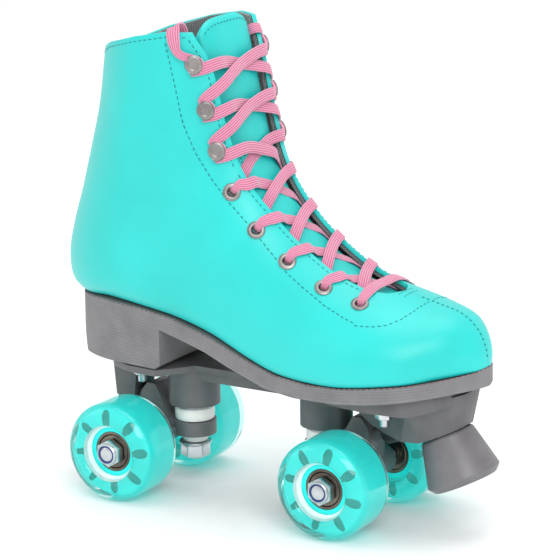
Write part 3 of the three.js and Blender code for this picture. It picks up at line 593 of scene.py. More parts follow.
class Finishes:
    """Every finish of the skate, made once each."""

    # Polyurethane-coated split leather: an even, satin turquoise with a very fine printed grain.
    UPPER = Finish(
        "coated_leather", "#1bccc7", "#15c2bc", Pattern.LEATHER, 0.42, 0, 1.5, 0.9, 0.035, 0.12, 0.35
    )
    # The same coating, padded, on the tongue: slightly softer gloss.
    TONGUE = Finish(
        "padded_coated_leather", "#19c9c4", "#12bdb7", Pattern.LEATHER, 0.46, 0, 1.5, 1.0, 0.05, 0.08, 0.4
    )
    # Knitted polyester lining: matt grey with a fine thread grid; the gaps between threads are painted in the
    # darker grey as shade.
    LINING = Finish("knit_lining", "#5d5f60", "#8f9394", Pattern.WOVEN, 0.9, 0, 1.45, 0.55, 0.12, sheen=0.3)
    # Open-cell foam footbed under thin cloth: nearly black and matt, the cloth's thread gaps painted darker
    # as shade.
    FOOTBED = Finish("foam_footbed", "#3a3c3e", "#54575a", Pattern.WOVEN, 0.95, 0, 1.45, 0.6, 0.1, sheen=0.2)
    # Pressed fibre board: brown and dry.
    BOARD = Finish("fibre_board", "#8a7256", "#75604a", Pattern.MOULDED, 0.85, 0, 1.5, 0.8, 0.08)
    # Flat woven polyester lace: soft pink with fine ribs along it; the grooves between the ribs are painted
    # in the darker pink as shade.
    LACE = Finish("woven_lace", "#e394b0", "#b3587c", Pattern.LACE, 0.75, 0, 1.5, 0.6, 0.22, sheen=0.35)
    # Polyester sewing thread, darker than the leather that it closes.
    THREAD = Finish("sewing_thread", "#12898a", "#0d7475", Pattern.MOULDED, 0.7, 0, 1.5, 0.3, 0.05)
    # The thread that runs in the welt: dull rose against the grey.
    WELT_THREAD = Finish("welt_thread", "#9c7f82", "#85696c", Pattern.MOULDED, 0.75, 0, 1.5, 0.3, 0.05)
    # Moulded thermoplastic rubber sole: mid grey, satin, its ribs modelled.
    SOLE = Finish("moulded_sole_rubber", "#7d7c7e", "#727173", Pattern.RIBBED, 0.55, 0, 1.5, 0.9, 0.04)
    # Glass-filled nylon plate: darker grey with a fine moulded grain.
    PLATE = Finish("glass_filled_nylon", "#636365", "#58585a", Pattern.MOULDED, 0.5, 0, 1.53, 0.7, 0.04)
    # Powder-coated alloy casting of the trucks.
    CASTING = Finish("powder_coated_casting", "#6a6a6c", "#5e5e60", Pattern.CAST, 0.45, 0, 1.5, 0.8, 0.06)
    # Moulded rubber toe stop: mid grey with a slight polish.
    STOP = Finish("toe_stop_rubber", "#747275", "#68666a", Pattern.RIBBED, 0.42, 0, 1.5, 1.4, 0.05)
    # Zinc-plated steel: bright, cool, faintly streaked.
    STEEL = Finish("zinc_plated_steel", "#cfd3d6", "#b2b7bb", Pattern.METAL, 0.28, 1.0, 1.5, 0.6, 0.02)
    # Polished nickel-plated brass of the eyelets and hooks, seen as warm grey.
    EYELET = Finish("nickel_eyelet", "#9a9694", "#84807f", Pattern.METAL, 0.35, 1.0, 1.5, 0.5, 0.02)
    # Ground bearing steel and its pressed shields.
    BEARING = Finish("bearing_steel", "#7a7268", "#575049", Pattern.METAL, 0.3, 1.0, 1.5, 0.4, 0.015)
    # Nylon locking ring in the nuts: the usual blue.
    LOCK_RING = Finish("nylon_lock_ring", "#163a80", "#102c66", Pattern.MOULDED, 0.4, 0, 1.53, 0.5, 0.02)
    # White polyurethane cushions: slightly translucent looking, satin.
    CUSHION = Finish("white_urethane", "#f0efec", "#e2e0dc", Pattern.MOULDED, 0.4, 0, 1.5, 0.9, 0.02, 0.2)
    # Dark nylon pivot cups.
    CUP = Finish("dark_nylon", "#2c2c2e", "#242426", Pattern.MOULDED, 0.5, 0, 1.53, 0.8, 0.03)
    # Gloss nylon wheel core: saturated turquoise, with a painted glow (emission) in its own colour that
    # stands in for light reaching it through the clear tyre.
    CORE = Finish(
        "gloss_nylon_core_painted_glow", "#0cdcd6", "#08d2cc", Pattern.MOULDED, 0.35, 0, 1.53, 2.0, 0.01, emission=0.35
    )
    # Painted shade: the same nylon in a darker teal deep in the core's pockets, where less light comes, with
    # a stronger painted glow (emission).
    SHADED_POCKET = Finish(
        "nylon_in_pockets_painted_shade", "#02958e", "#028982", Pattern.MOULDED, 0.6, 0, 1.53, 2.0, 0.01, emission=0.6
    )
    # The tyre's pale inner lip, nearly white, with a faint painted glow (emission).
    LIP = Finish(
        "pale_urethane_painted_glow", "#f4fffe", "#e9fbfa", Pattern.MOULDED, 0.35, 0, 1.46, 1.0, 0.01, emission=0.08
    )
    # Clear cast polyurethane with a light turquoise tint and a faint painted glow (emission).
    TYRE = Finish(
        "clear_tinted_urethane", "#e6fffd", "#c9f9f6", Pattern.PLAIN,
        0.04, 0, 1.46, emission=0.02, transmission=0.995
    )

    _made: dict[str, bpy.types.Material] = {}

    @classmethod
    def of(cls, finish: Finish) -> bpy.types.Material:
        """The material of a finish, made at its first use."""
        if finish.name not in cls._made:
            cls._made[finish.name] = finish.build()
        return cls._made[finish.name]


def dress(obj: Object, finish: Finish) -> Object:
    """Gives a piece one finish all over."""
    obj.data.materials.clear()
    obj.data.materials.append(Finishes.of(finish))
    return obj


def place(
    obj: Object, body: str, slot: str, finish: Finish | None = None, stands_for: Sequence[str] = ()
) -> Object:
    """Dresses a finished piece, puts it on its body and reports it.

    Args:
        obj: The piece.
        body: The CAD body that it moves with.
        slot: The record's material slot; not used.
        finish: Its finish, or None where it is dressed already.
        stands_for: The CAD nodes that it replaces.

    Returns:
        The same piece.
    """
    if finish is not None:
        dress(obj, finish)
    nothing_selected()
    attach(obj, body)
    if stands_for:
        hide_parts(*stands_for)
    LOG.info("%s on %s: %d faces", obj.name, body, len(obj.data.polygons))
    return obj


# ---------------------------------------------------------------- boot form


@dataclass(frozen=True)
class Station:
    """One section of the boot, from its sole or heel end to its ridge."""

    back: Pair
    ridge: Pair
    half: float
    widest: float
    powers: Pair

    def row(self) -> list[float]:
        """The section's nine numbers in one row."""
        return [*self.back, *self.ridge, self.half, self.widest, *self.powers]


STATIONS = (
    Station((137.6, 90.4), (137.3, 95.5), 2, 0.5, (2.2, 2.2)),
    Station((135.4, 89.4), (135.8, 102.5), 8.5, 0.44, (3, 2.2)),
    Station((130.5, 88.4), (131.4, 110.8), 15.5, 0.4, (4, 2.1)),
    Station((121.5, 87.0), (122.5, 117.8), 26.5, 0.36, (5, 2.0)),
    Station((109.5, 85.2), (108.0, 121.6), 38, 0.32, (6, 1.9)),
    Station((93.0, 83.1), (92.0, 125.3), 44.8, 0.3, (6, 1.85)),
    Station((74.0, 80.5), (76.0, 130.0), 46, 0.28, (6, 1.8)),
    Station((54.0, 79.4), (60.0, 137.0), 44, 0.28, (6, 1.85)),
    Station((33.0, 80.8), (46.0, 145.8), 41.5, 0.28, (6, 2.05)),
    Station((12.0, 86.4), (34.0, 155.3), 39, 0.3, (5.5, 2.2)),
    Station((-10.0, 94.4), (24.0, 165.3), 37.5, 0.34, (5, 2.4)),
    Station((-33.0, 100.5), (16.5, 174.8), 37, 0.38, (5, 2.6)),
    Station((-57.0, 103.5), (11.5, 184.2), 37, 0.4, (4.5, 2.8)),
    Station((-80.0, 104.4), (8.6, 193.6), 37, 0.42, (3.4, 2.9)),
    Station((-101.0, 103.6), (6.3, 203.0), 37.5, 0.44, (2.5, 3)),
    Station((-114.0, 109.0), (4.0, 213.0), 38, 0.46, (1.9, 3)),
    Station((-117.6, 122.0), (1.5, 223.0), 38.5, 0.48, (1.65, 3)),
    Station((-115.0, 138.0), (-1.0, 232.5), 38.7, 0.5, (1.55, 3)),
    Station((-109.4, 156.0), (-3.5, 241.0), 38.7, 0.5, (1.5, 3)),
    Station((-102.4, 180.0), (-6.0, 249.0), 38.7, 0.5, (1.5, 3)),
    Station((-95.6, 205.0), (-8.5, 256.5), 38.7, 0.5, (1.5, 3)),
    Station((-91.2, 232.0), (-10.5, 263.5), 38.7, 0.5, (1.5, 3)),
    Station((-86.4, 262.0), (-12.5, 274.0), 38.7, 0.5, (1.5, 3)),
)


@dataclass
class BootForm:
    """The boot's outside surface: a fan of sections from the toe to the collar.

    Lengths are millimetres in the frame; stations are numbered from the toe, 0, to above the collar, 22.
    """

    middle_x: float
    opening: tuple[Pair, ...] = (
        (5.2, 3), (5.4, 10), (6, 14.5), (7.1, 16), (8.5, 16.8), (10.3, 18.4), (11.5, 20.8), (13, 23),
        (15.3, 24.7), (18, 25.6), (19, 27), (20, 29.5), (21, 31.5),
    )  # fmt: skip
    collar: tuple[Pair, ...] = (
        (-130, 232), (-92.4, 234.6), (-84, 240.5), (-71, 246.5),
        (-50, 252.5), (-30, 256.3), (-18, 256), (20, 252),
    )  # fmt: skip
    eyelets: tuple[Pair, ...] = ((5.95, 24.6), (7.2, 26), (8.65, 27), (10.15, 28), (12.0, 28.6))
    hooks: tuple[Pair, ...] = ((14.25, 29.3), (16.35, 30.5), (18.9, 32))
    last: float = 22.0
    heel_feather: float = 103.6
    rows: Array = field(init=False)

    def __post_init__(self) -> None:
        """Stores the sections as an array."""
        self.rows = np.array([s.row() for s in STATIONS], float)

    def section(self, s: float) -> Array:
        """The nine numbers of a section between stations, by a Catmull-Rom spline."""
        top = len(self.rows) - 1
        i = min(top - 1, max(0, int(math.floor(s))))
        t = s - i
        return catmull_rom([self.rows[min(top, max(0, k))] for k in (i - 1, i, i + 1, i + 2)], t)

    def ring(self, s: float, turns: Array) -> Array:
        """Points of section s at turns from 0, the ridge, through 0.25, the left side, to 0.5, the back."""
        bx, bz, rx, rz, half, widest, back_power, ridge_power = self.section(s)
        angle = 2 * np.pi * np.asarray(turns, float)
        c, n = np.cos(angle), np.sin(angle)
        power = np.where(c >= 0, 2 / ridge_power, 2 / back_power)
        reach = np.abs(c) ** power
        fraction = np.where(c >= 0, widest + (1 - widest) * reach, widest * (1 - reach))
        return np.stack(
            [
                bx + (rx - bx) * fraction - self.middle_shift,
                np.sign(n) * half * np.abs(n) ** power,
                bz + (rz - bz) * fraction,
            ],
            -1,
        )

    @property
    def middle_shift(self) -> float:
        """What is taken from a station's x to come to the frame."""
        return -self.middle_x

    def ridge_point(self, s: float, y: float) -> Array:
        """The point of section s on its ridge side at width y."""
        bx, bz, rx, rz, half, widest, _, power = self.section(s)
        spread = min(0.999, abs(y) / half) ** power
        fraction = widest + (1 - widest) * (1 - spread) ** (1 / power)
        return np.array([bx + (rx - bx) * fraction - self.middle_shift, y, bz + (rz - bz) * fraction])

    def ridge_normal(self, s: float, y: float) -> Array:
        """The outward direction of the boot at a ridge-side point."""
        ahead = self.ridge_point(s + 0.05, y) - self.ridge_point(s - 0.05, y)
        across = self.ridge_point(s, y + 0.4) - self.ridge_point(s, y - 0.4)
        normal = np.cross(across, ahead)
        return normal / np.linalg.norm(normal)

    def lifted(self, s: float, y: float, lift: float) -> Array:
        """A ridge-side point moved off the surface."""
        return self.ridge_point(s, y) + self.ridge_normal(s, y) * lift

    def half_opening(self, s: float) -> float:
        """Half the width of the lace opening at a station."""
        return float(np.interp(s, [p[0] for p in self.opening], [p[1] for p in self.opening]))

    def ridge_rise(self, s: float) -> float:
        """How far the ridge stands above the two facing edges."""
        half = self.half_opening(min(s, OPENING_EVEN))
        return float((self.ridge_point(s, 0) - self.ridge_point(s, half)) @ self.ridge_normal(s, 0))

    def feather(self, x: Array | float) -> Array:
        """The height of the line where the upper meets the sole."""
        backs = self.rows[:15, :2][::-1]
        return np.interp(x, backs[:, 0] - self.middle_shift, backs[:, 1])

    def collar_height(self, x: float) -> float:
        """The height of the collar's edge at x."""
        return float(
            np.interp(x, [p[0] - self.middle_shift for p in self.collar], [p[1] for p in self.collar])
        )

    def turns_between(self, s: float, facing_gap: float) -> Pair:
        """The first and last turn of the upper on its left side.

        Args:
            s: The station.
            facing_gap: How far back from the facing's edge to start, in millimetres.

        Returns:
            The turn at the facing's edge or ridge, and at the sole or back seam.
        """
        bx, bz, rx, rz, half, widest, back_power, ridge_power = self.section(s)
        start = 0.0
        if s >= OPENING_STARTS:
            wide = min(0.98, (self.half_opening(s) + facing_gap) / half)
            start = math.asin(wide ** (ridge_power / 2)) / math.tau
        feather = float(self.feather(bx - self.middle_shift)) if s <= ANKLE else self.heel_feather
        cut = max(0.0, (feather + 1.6 - bz) / (rz - bz)) / widest
        end = 0.5
        if cut > 0:
            end = 0.5 - math.acos(min(1.0, max(0.0, 1 - cut)) ** (back_power / 2)) / math.tau
        return start, max(end, start + 0.02)

    def upper_row(self, s: float, shares: Array, facing_gap: float) -> Array:
        """Points of the upper at shares of the girth from the facing's edge to the sole or back seam."""
        start, end = self.turns_between(s, facing_gap)
        dense = self.ring(s, np.linspace(start, end, 240))
        girth = run_along(dense)
        return even(dense, girth, np.asarray(shares) * girth[-1])

    def upper_grid(self, stations: int, columns: int, facing_gap: float, below_collar: float = 0.0) -> Array:
        """The left half of the upper as a grid of points from the toe to the collar.

        Args:
            stations: How many rows there are.
            columns: How many points a row has.
            facing_gap: How far back from the facing's edge it starts.
            below_collar: How far under the collar line it stops.

        Returns:
            Points with shape (stations, columns, 3).
        """
        shares = np.linspace(0, 1, columns)
        low_count = int(stations * 0.66)
        low = [self.upper_row(s, shares, facing_gap) for s in np.linspace(0.02, ANKLE, low_count)]
        low[0][:, 1] = np.minimum(low[0][:, 1], 0.05)
        ladder = np.linspace(ANKLE, self.last, 70)
        tall = np.array([self.upper_row(s, shares, facing_gap) for s in ladder])
        above = np.zeros(tall.shape[:2])
        for j in range(columns):
            for i in range(len(ladder)):
                above[i, j] = tall[i, j, 2] - (self.collar_height(tall[i, j, 0]) - below_collar)
        ends = [float(np.interp(0.0, above[:, j], ladder)) for j in range(columns)]
        high_count = stations - low_count
        high = np.zeros((high_count, columns, 3))
        for j, end in enumerate(ends):
            want = np.linspace(ANKLE, end, high_count + 1)[1:]
            for k in range(3):
                high[:, j, k] = np.interp(want, ladder, tall[:, j, k])
        return np.concatenate([np.array(low), high])

    def grid_normals(self, grid: Array) -> Array:
        """Outward directions of a grid of points on the left half."""
        ahead = np.gradient(grid, axis=0)
        round_ = np.gradient(grid, axis=1)
        normal = np.cross(round_, ahead)
        length = np.linalg.norm(normal, axis=2, keepdims=True)
        length[length < 1e-9] = 1
        return normal / length


def mirrored(points: Array) -> Array:
    """Points moved to the other side of the skate."""
    out = np.array(points, float)
    out[..., 1] *= -1
    return out


# ---------------------------------------------------------------- stitching


@dataclass(frozen=True)
class Stitching:
    """A run of sewn stitches, each a small rounded bar that dips in at its ends."""

    length: float = 2.3
    pitch: float = 3.1
    radius: float = 0.32

    def along(self, path: Array, normals: Array) -> tuple[Array, Faces]:
        """Lays stitches along a path.

        Args:
            path: Points along the seam, in millimetres.
            normals: The surface's outward direction at each point.

        Returns:
            The points and faces of all the stitches.
        """
        run = run_along(path)
        points: list[Array] = []
        faces: Faces = []
        count = int(run[-1] // self.pitch)
        profile = ((-0.5, -0.4, 0.4), (-0.32, -0.06, 1.0), (0.32, -0.06, 1.0), (0.5, -0.4, 0.4))
        corners = 5
        per_stitch = corners * len(profile)
        for k in range(count):
            middle = (k + 0.5) * self.pitch
            for along_share, lift, girth in profile:
                at = middle + along_share * self.length
                centre, normal = even(path, run, at), even(normals, run, at)
                normal /= np.linalg.norm(normal)
                ahead = even(path, run, at + 0.5) - even(path, run, at - 0.5)
                side = np.cross(ahead, normal)
                side /= max(1e-9, np.linalg.norm(side))
                for corner in range(corners):
                    angle = math.tau * corner / corners
                    offset = side * math.cos(angle) + normal * math.sin(angle)
                    points.append(centre + normal * lift + offset * self.radius * girth)
            base = k * per_stitch
            for row in range(base, base + per_stitch - corners, corners):
                for j in range(corners):
                    n = (j + 1) % corners
                    faces.append((row + j, row + n, row + corners + n, row + corners + j))
            faces.append(tuple(base + j for j in range(corners - 1, -1, -1)))
            faces.append(tuple(base + per_stitch - corners + j for j in range(corners)))
        return np.array(points), faces


def sewn(name: str, runs: Iterable[Run], stitch: Stitching) -> Object:
    """Makes one piece of several runs of stitches.

    Args:
        name: The piece's name.
        runs: A path and its outward directions for each run.
        stitch: The stitch used.

    Returns:
        The stitches as one mesh.
    """
    points: list[Array] = []
    faces: Faces = []
    for path, normals in runs:
        some, more = stitch.along(np.asarray(path), np.asarray(normals))
        if not len(some):
            continue
        base = sum(len(p) for p in points)
        points.append(some)
        faces += [tuple(i + base for i in face) for face in more]
    obj = mesh_object(name, np.concatenate(points), faces)
    recalculated(obj, 0.001)
    return smooth(obj, 80)


def cord_tube(path: Array, radius: float, sides: int = 8) -> tuple[Array, Faces]:
    """A round cord along a path, closed at its ends.

    Args:
        path: Points along the middle, in millimetres.
        radius: The cord's radius.
        sides: How many corners its section has.

    Returns:
        Its points and faces.
    """
    ahead = unit(np.gradient(path, axis=0))
    flat = np.array([0.0, 0.0, 1.0])
    rings = []
    for centre, forward in zip(path, ahead):
        flat = flat - forward * (flat @ forward)
        if np.linalg.norm(flat) < 1e-6:
            flat = np.array([0.0, 1.0, 0.0])
        flat = flat / np.linalg.norm(flat)
        side = np.cross(forward, flat)
        angles = np.arange(sides) * math.tau / sides
        rings.append(centre + radius * (np.outer(np.cos(angles), flat) + np.outer(np.sin(angles), side)))
    faces = grid_faces(len(path), sides, wrap=True)
    last = (len(path) - 1) * sides
    faces.append(tuple(range(sides - 1, -1, -1)))
    faces.append(tuple(last + j for j in range(sides)))
    return np.concatenate(rings), faces


# ---------------------------------------------------------------- boot


@dataclass
class Boot:
    """The boot's leather halves, lining, tongue, footbed, sole and their seams."""

    form: BootForm
    leather: float = 2.1
    lining: float = 1.8
    stations: int = 150
    columns: int = 54
    seam_gap: float = 0.12
    tongue_edge: float = 6.1
    tongue_middle: float = 4.5
    tongue_top: float = 20.9
    tongue_arch: float = 0.9

    def half(self, name: str, side: int, inset: float, thickness: float, gap: float, low: float) -> Object:
        """One side of the upper or lining as a wall of even thickness.

        Args:
            name: The piece's name.
            side: 1 for the left, -1 for the right.
            inset: How far its outside lies under the boot's surface.
            thickness: The wall's thickness.
            gap: How far back from the facing's edge it starts.
            low: How far under the collar line it stops.

        Returns:
            The closed wall.
        """
        grid = self.form.upper_grid(self.stations, self.columns, gap, low)
        normals = self.form.grid_normals(grid)
        normals[0] = np.array([1.0, 0.0, 0.0])
        outer = grid - normals * inset
        inner = grid - normals * (inset + thickness)
        for wall in (outer, inner):
            wall[..., 1] = np.maximum(wall[..., 1], self.seam_gap)
        if side < 0:
            outer, inner = mirrored(outer), mirrored(inner)
        rows, columns = grid.shape[:2]
        count = rows * columns
        points = np.concatenate([outer.reshape(-1, 3), inner.reshape(-1, 3)])
        faces = grid_faces(rows, columns)
        faces += [tuple(i + count for i in f[::-1]) for f in grid_faces(rows, columns)]
        rim = [j for j in range(columns)] + [i * columns + columns - 1 for i in range(1, rows)]
        rim += [(rows - 1) * columns + j for j in range(columns - 2, -1, -1)]
        rim += [i * columns for i in range(rows - 2, 0, -1)]
        for k, a in enumerate(rim):
            b = rim[(k + 1) % len(rim)]
            faces.append((b, a, a + count, b + count))
        obj = mesh_object(name, points, faces)
        recalculated(obj, 0.005)
        return obj

    def eyelet_cutter(self, side: int) -> Object:
        """The five punched holes of one facing as one cutter."""
        parts = []
        for s, y in self.form.eyelets:
            nothing_selected()
            bpy.ops.mesh.primitive_cylinder_add(vertices=20, radius=2.75 * MM, depth=14 * MM)
            pin = bpy.context.object
            centre = Vector(self.form.lifted(s, side * y, -2)) * MM
            parts.append(turned_to(pin, Vector(self.form.ridge_normal(s, side * y)), centre))
            pin.location = (0, 0, 0)
        return joined("cutter", parts)

    def uppers(self) -> None:
        """The two leather halves, with rounded cut edges and punched eyelet holes."""
        for name, side in (("upper_left", 1), ("upper_right", -1)):
            wall = self.half(f"leather_{name}", side, 0.0, self.leather, 0.0, 0.0)
            cut(wall, self.eyelet_cutter(side))
            smooth(bevelled(wall, 0.55, 50), 40)
            place(wall, CHASSIS, "upper", Finishes.UPPER, [name])

    def linings(self) -> None:
        """The soft lining inside the leather, showing at the collar and the facings."""
        parts = []
        for side in (1, -1):
            part = self.half(f"lining_{side}", side, self.leather + 0.25, self.lining, 0.7, 0.4)
            parts.append(part)
        both = joined("soft_lining", parts)
        smooth(bevelled(both, 0.6, 50), 50)
        place(both, CHASSIS, "lining", Finishes.LINING, ["boot_lining"])

    def ridge_run(self, spots: Iterable[Pair]) -> Run:
        """The points and outward directions at pairs of station and width."""
        spots = list(spots)
        points = [self.form.ridge_point(s, y) for s, y in spots]
        return np.array(points), np.array([self.form.ridge_normal(s, y) for s, y in spots])

    def seam_path(self, s_values: Array, share: float, side: int) -> Run:
        """A line along the upper a fixed distance behind the facing's edge.

        Args:
            s_values: The stations it passes.
            share: Its distance behind the facing's edge in millimetres.
            side: 1 for the left, -1 for the right.

        Returns:
            Its points and outward directions.
        """
        return self.ridge_run((s, side * (self.form.half_opening(s) + share)) for s in s_values)

    def on_side(self, points: Sequence[Triple], side: int) -> Run:
        """Carries a seam drawn in side view on to the boot's surface.

        Args:
            points: For each point its x and z from mid-wheelbase, and its least width as a guide.
            side: 1 for the left, -1 for the right.

        Returns:
            Points on the surface and their outward directions.
        """
        grid = self.form.upper_grid(90, 40, 0.0)
        normals = self.form.grid_normals(grid)
        flat = grid.reshape(-1, 3)
        flat_normals = normals.reshape(-1, 3)
        steps, nearest = 12, 12
        dense = []
        for a, b in zip(points[:-1], points[1:]):
            for k in range(steps):
                dense.append([a[i] + (b[i] - a[i]) * k / steps for i in range(3)])
        dense.append(list(points[-1]))
        out, out_normals = [], []
        for x, z, width in dense:
            x -= self.form.middle_shift
            gaps = (flat[:, 0] - x) ** 2 + (flat[:, 2] - z) ** 2 + 0.02 * (flat[:, 1] - width) ** 2
            near = np.argsort(gaps)[:nearest]
            weight = 1 / (gaps[near] + 0.5)
            weight /= weight.sum()
            spot = weight @ flat[near]
            normal = weight @ flat_normals[near]
            out.append([x, spot[1] * side, z])
            out_normals.append([normal[0], normal[1] * side, normal[2]])
        path, directions = eased(np.array(out), 3), unit(np.array(out_normals))
        return path + directions * 0.1, directions

    def collar_path(self, side: int, below: float) -> Run:
        """A line round one side of the collar, a fixed distance under its edge."""
        grid = self.form.upper_grid(self.stations, self.columns, 0.0, below)
        normals = self.form.grid_normals(grid)
        path, directions = grid[-1, 2:-1], normals[-1, 2:-1]
        if side < 0:
            path, directions = mirrored(path), mirrored(directions)
        return path, directions

    def toe_path(self) -> Run:
        """The line of the toe's centre seam."""
        values = np.linspace(4.6, 0.04, 66)
        path = np.array([self.form.ridge_point(s, 0.0) for s in values])
        ahead = np.gradient(path, axis=0)
        normals = unit(np.cross(ahead, np.array([0.0, 1.0, 0.0])))
        normals[normals[:, 0] + normals[:, 2] < 0] *= -1
        return path, normals

    def back_path(self) -> Run:
        """The line of the back seam, from the heel to the collar."""
        grid = self.form.upper_grid(self.stations, self.columns, 0.0)
        rows = [row[-1] for row in grid[int(self.stations * 0.66) :] if row[-1][1] < 0.5]
        path = np.array(rows)
        path[:, 1] = 0.0
        ahead = np.gradient(path, axis=0)
        normals = unit(np.cross(np.array([0.0, 1.0, 0.0]), ahead))
        normals[normals[:, 0] > 0] *= -1
        return path, normals

    def seams(self) -> None:
        """All the sewing of the upper, and the piped back seam."""
        eyestay = (
            (-30.9, 251, 30), (-26.5, 230, 33), (-22.1, 208.7, 36), (-16.2, 194, 36), (-7.4, 180.1, 37),
            (2.0, 168.8, 37), (12.8, 157.9, 37), (23.8, 146.8, 37), (35.4, 136, 38), (48, 128, 38),
            (60.2, 121.3, 38), (72.6, 116.8, 36), (80, 114.8, 36),
        )  # fmt: skip
        vamp = np.array([
            (5.8, 35.6), (5.42, 34.8), (5.1, 33.4), (4.78, 30.4),
            (4.5, 24.8), (4.32, 16.5), (4.24, 7.5), (4.21, 0),
        ])  # fmt: skip
        vamp = even(vamp, np.arange(len(vamp)), np.linspace(0, len(vamp) - 1, 70))
        low = np.linspace(5.7, 12.6, 120)
        high = np.linspace(12.9, 20.4, 110)
        runs = []
        for side in (1, -1):
            runs.append(self.on_side(eyestay, side))
            runs.append(self.ridge_run((s, y * side) for s, y in vamp))
            runs.append(self.seam_path(low, 2.2, side))
            runs.append(self.seam_path(high, 2.2, side))
            runs.append(self.collar_path(side, 2.6))
        place(sewn("upper_stitches", runs, Stitching()), CHASSIS, "upper", Finishes.THREAD)
        toe_seam = sewn("toe_stitches", [self.toe_path()], Stitching(1.3, 2.9, 0.58))
        place(toe_seam, CHASSIS, "upper", Finishes.THREAD)
        tack = [self.ridge_run((s, y) for y in np.linspace(-7.5, 7.5, 12)) for s in (5.15, 4.95)]
        place(sewn("vamp_tack_stitches", tack, Stitching(1.5, 2.1, 0.3)), CHASSIS, "upper", Finishes.THREAD)
        path, normals = self.back_path()
        points, faces = cord_tube(path + normals * 0.15, 0.95, 10)
        piping = mesh_object("back_seam_piping", points, faces)
        recalculated(piping)
        place(smooth(piping, 60), CHASSIS, "upper", Finishes.THREAD)

    def tongue_depth(self, s: float, y: float) -> float:
        """How far the tongue's face lies under the boot's surface at station s and width y."""
        bulge = max(0.0, 1 - (y / self.form.half_opening(min(s, OPENING_EVEN))) ** 2)
        rise = 0.6 * self.form.ridge_rise(s)
        return self.tongue_edge + (self.tongue_middle - self.tongue_edge + rise) * bulge

    def tongue(self) -> None:
        """The padded tongue between the facings, rounded at its top and swollen between the lace's bars."""
        across, along = 30, 130
        widths = ((4.9, 15), (6, 21), (8.5, 24), (12, 28), (14, 30), (21, 29))
        first, thickness = widths[0][0], 4.6
        side_roll, top_roll = 0.16, 0.03
        rings = []
        for i in range(along):
            t = i / (along - 1)
            top, bottom = [], []
            for k in np.linspace(-1, 1, across):
                end = self.tongue_top - self.tongue_arch * k**4
                s = first + (end - first) * t
                y = k * float(np.interp(s, [w[0] for w in widths], [w[1] for w in widths]))
                rim = min(1.0, (1 - abs(k)) / side_roll, (1 - t) / top_roll)
                pad = thickness * math.sqrt(max(0.0, 1 - (1 - rim) ** 2))
                middle = self.tongue_depth(s, y) + thickness / 2
                top.append(self.form.lifted(s, y, -(middle - pad / 2)))
                bottom.append(self.form.lifted(s, y, -(middle + pad / 2)))
            rings.append(top + bottom[::-1][1:-1])
        count = len(rings[0])
        faces = grid_faces(along, count, wrap=True)
        faces.append(tuple(range(count - 1, -1, -1)))
        obj = mesh_object("padded_tongue", np.array(rings).reshape(-1, 3), faces)
        recalculated(obj, 0.02)
        smooth(obj, 60)
        place(obj, CHASSIS, "upper", Finishes.TONGUE, ["tongue"])
        self.tongue_stitches()

    def tongue_stitches(self) -> None:
        """The arc sewn round the tongue's top, and the two rows across it."""
        arc = [
            (self.tongue_top - self.tongue_arch * k**4 - 0.42, k * 27.6) for k in np.linspace(-0.86, 0.86, 90)
        ]
        rows = [[(s, y) for y in np.linspace(-20, 20, 60)] for s in (12.75, 12.95)]
        runs = []
        for spots in (arc, *rows):
            path = [self.form.lifted(s, y, 0.05 - self.tongue_depth(s, y)) for s, y in spots]
            runs.append((np.array(path), self.ridge_run(spots)[1]))
        place(sewn("tongue_stitches", runs, Stitching(2.2, 3.0, 0.3)), CHASSIS, "upper", Finishes.THREAD)


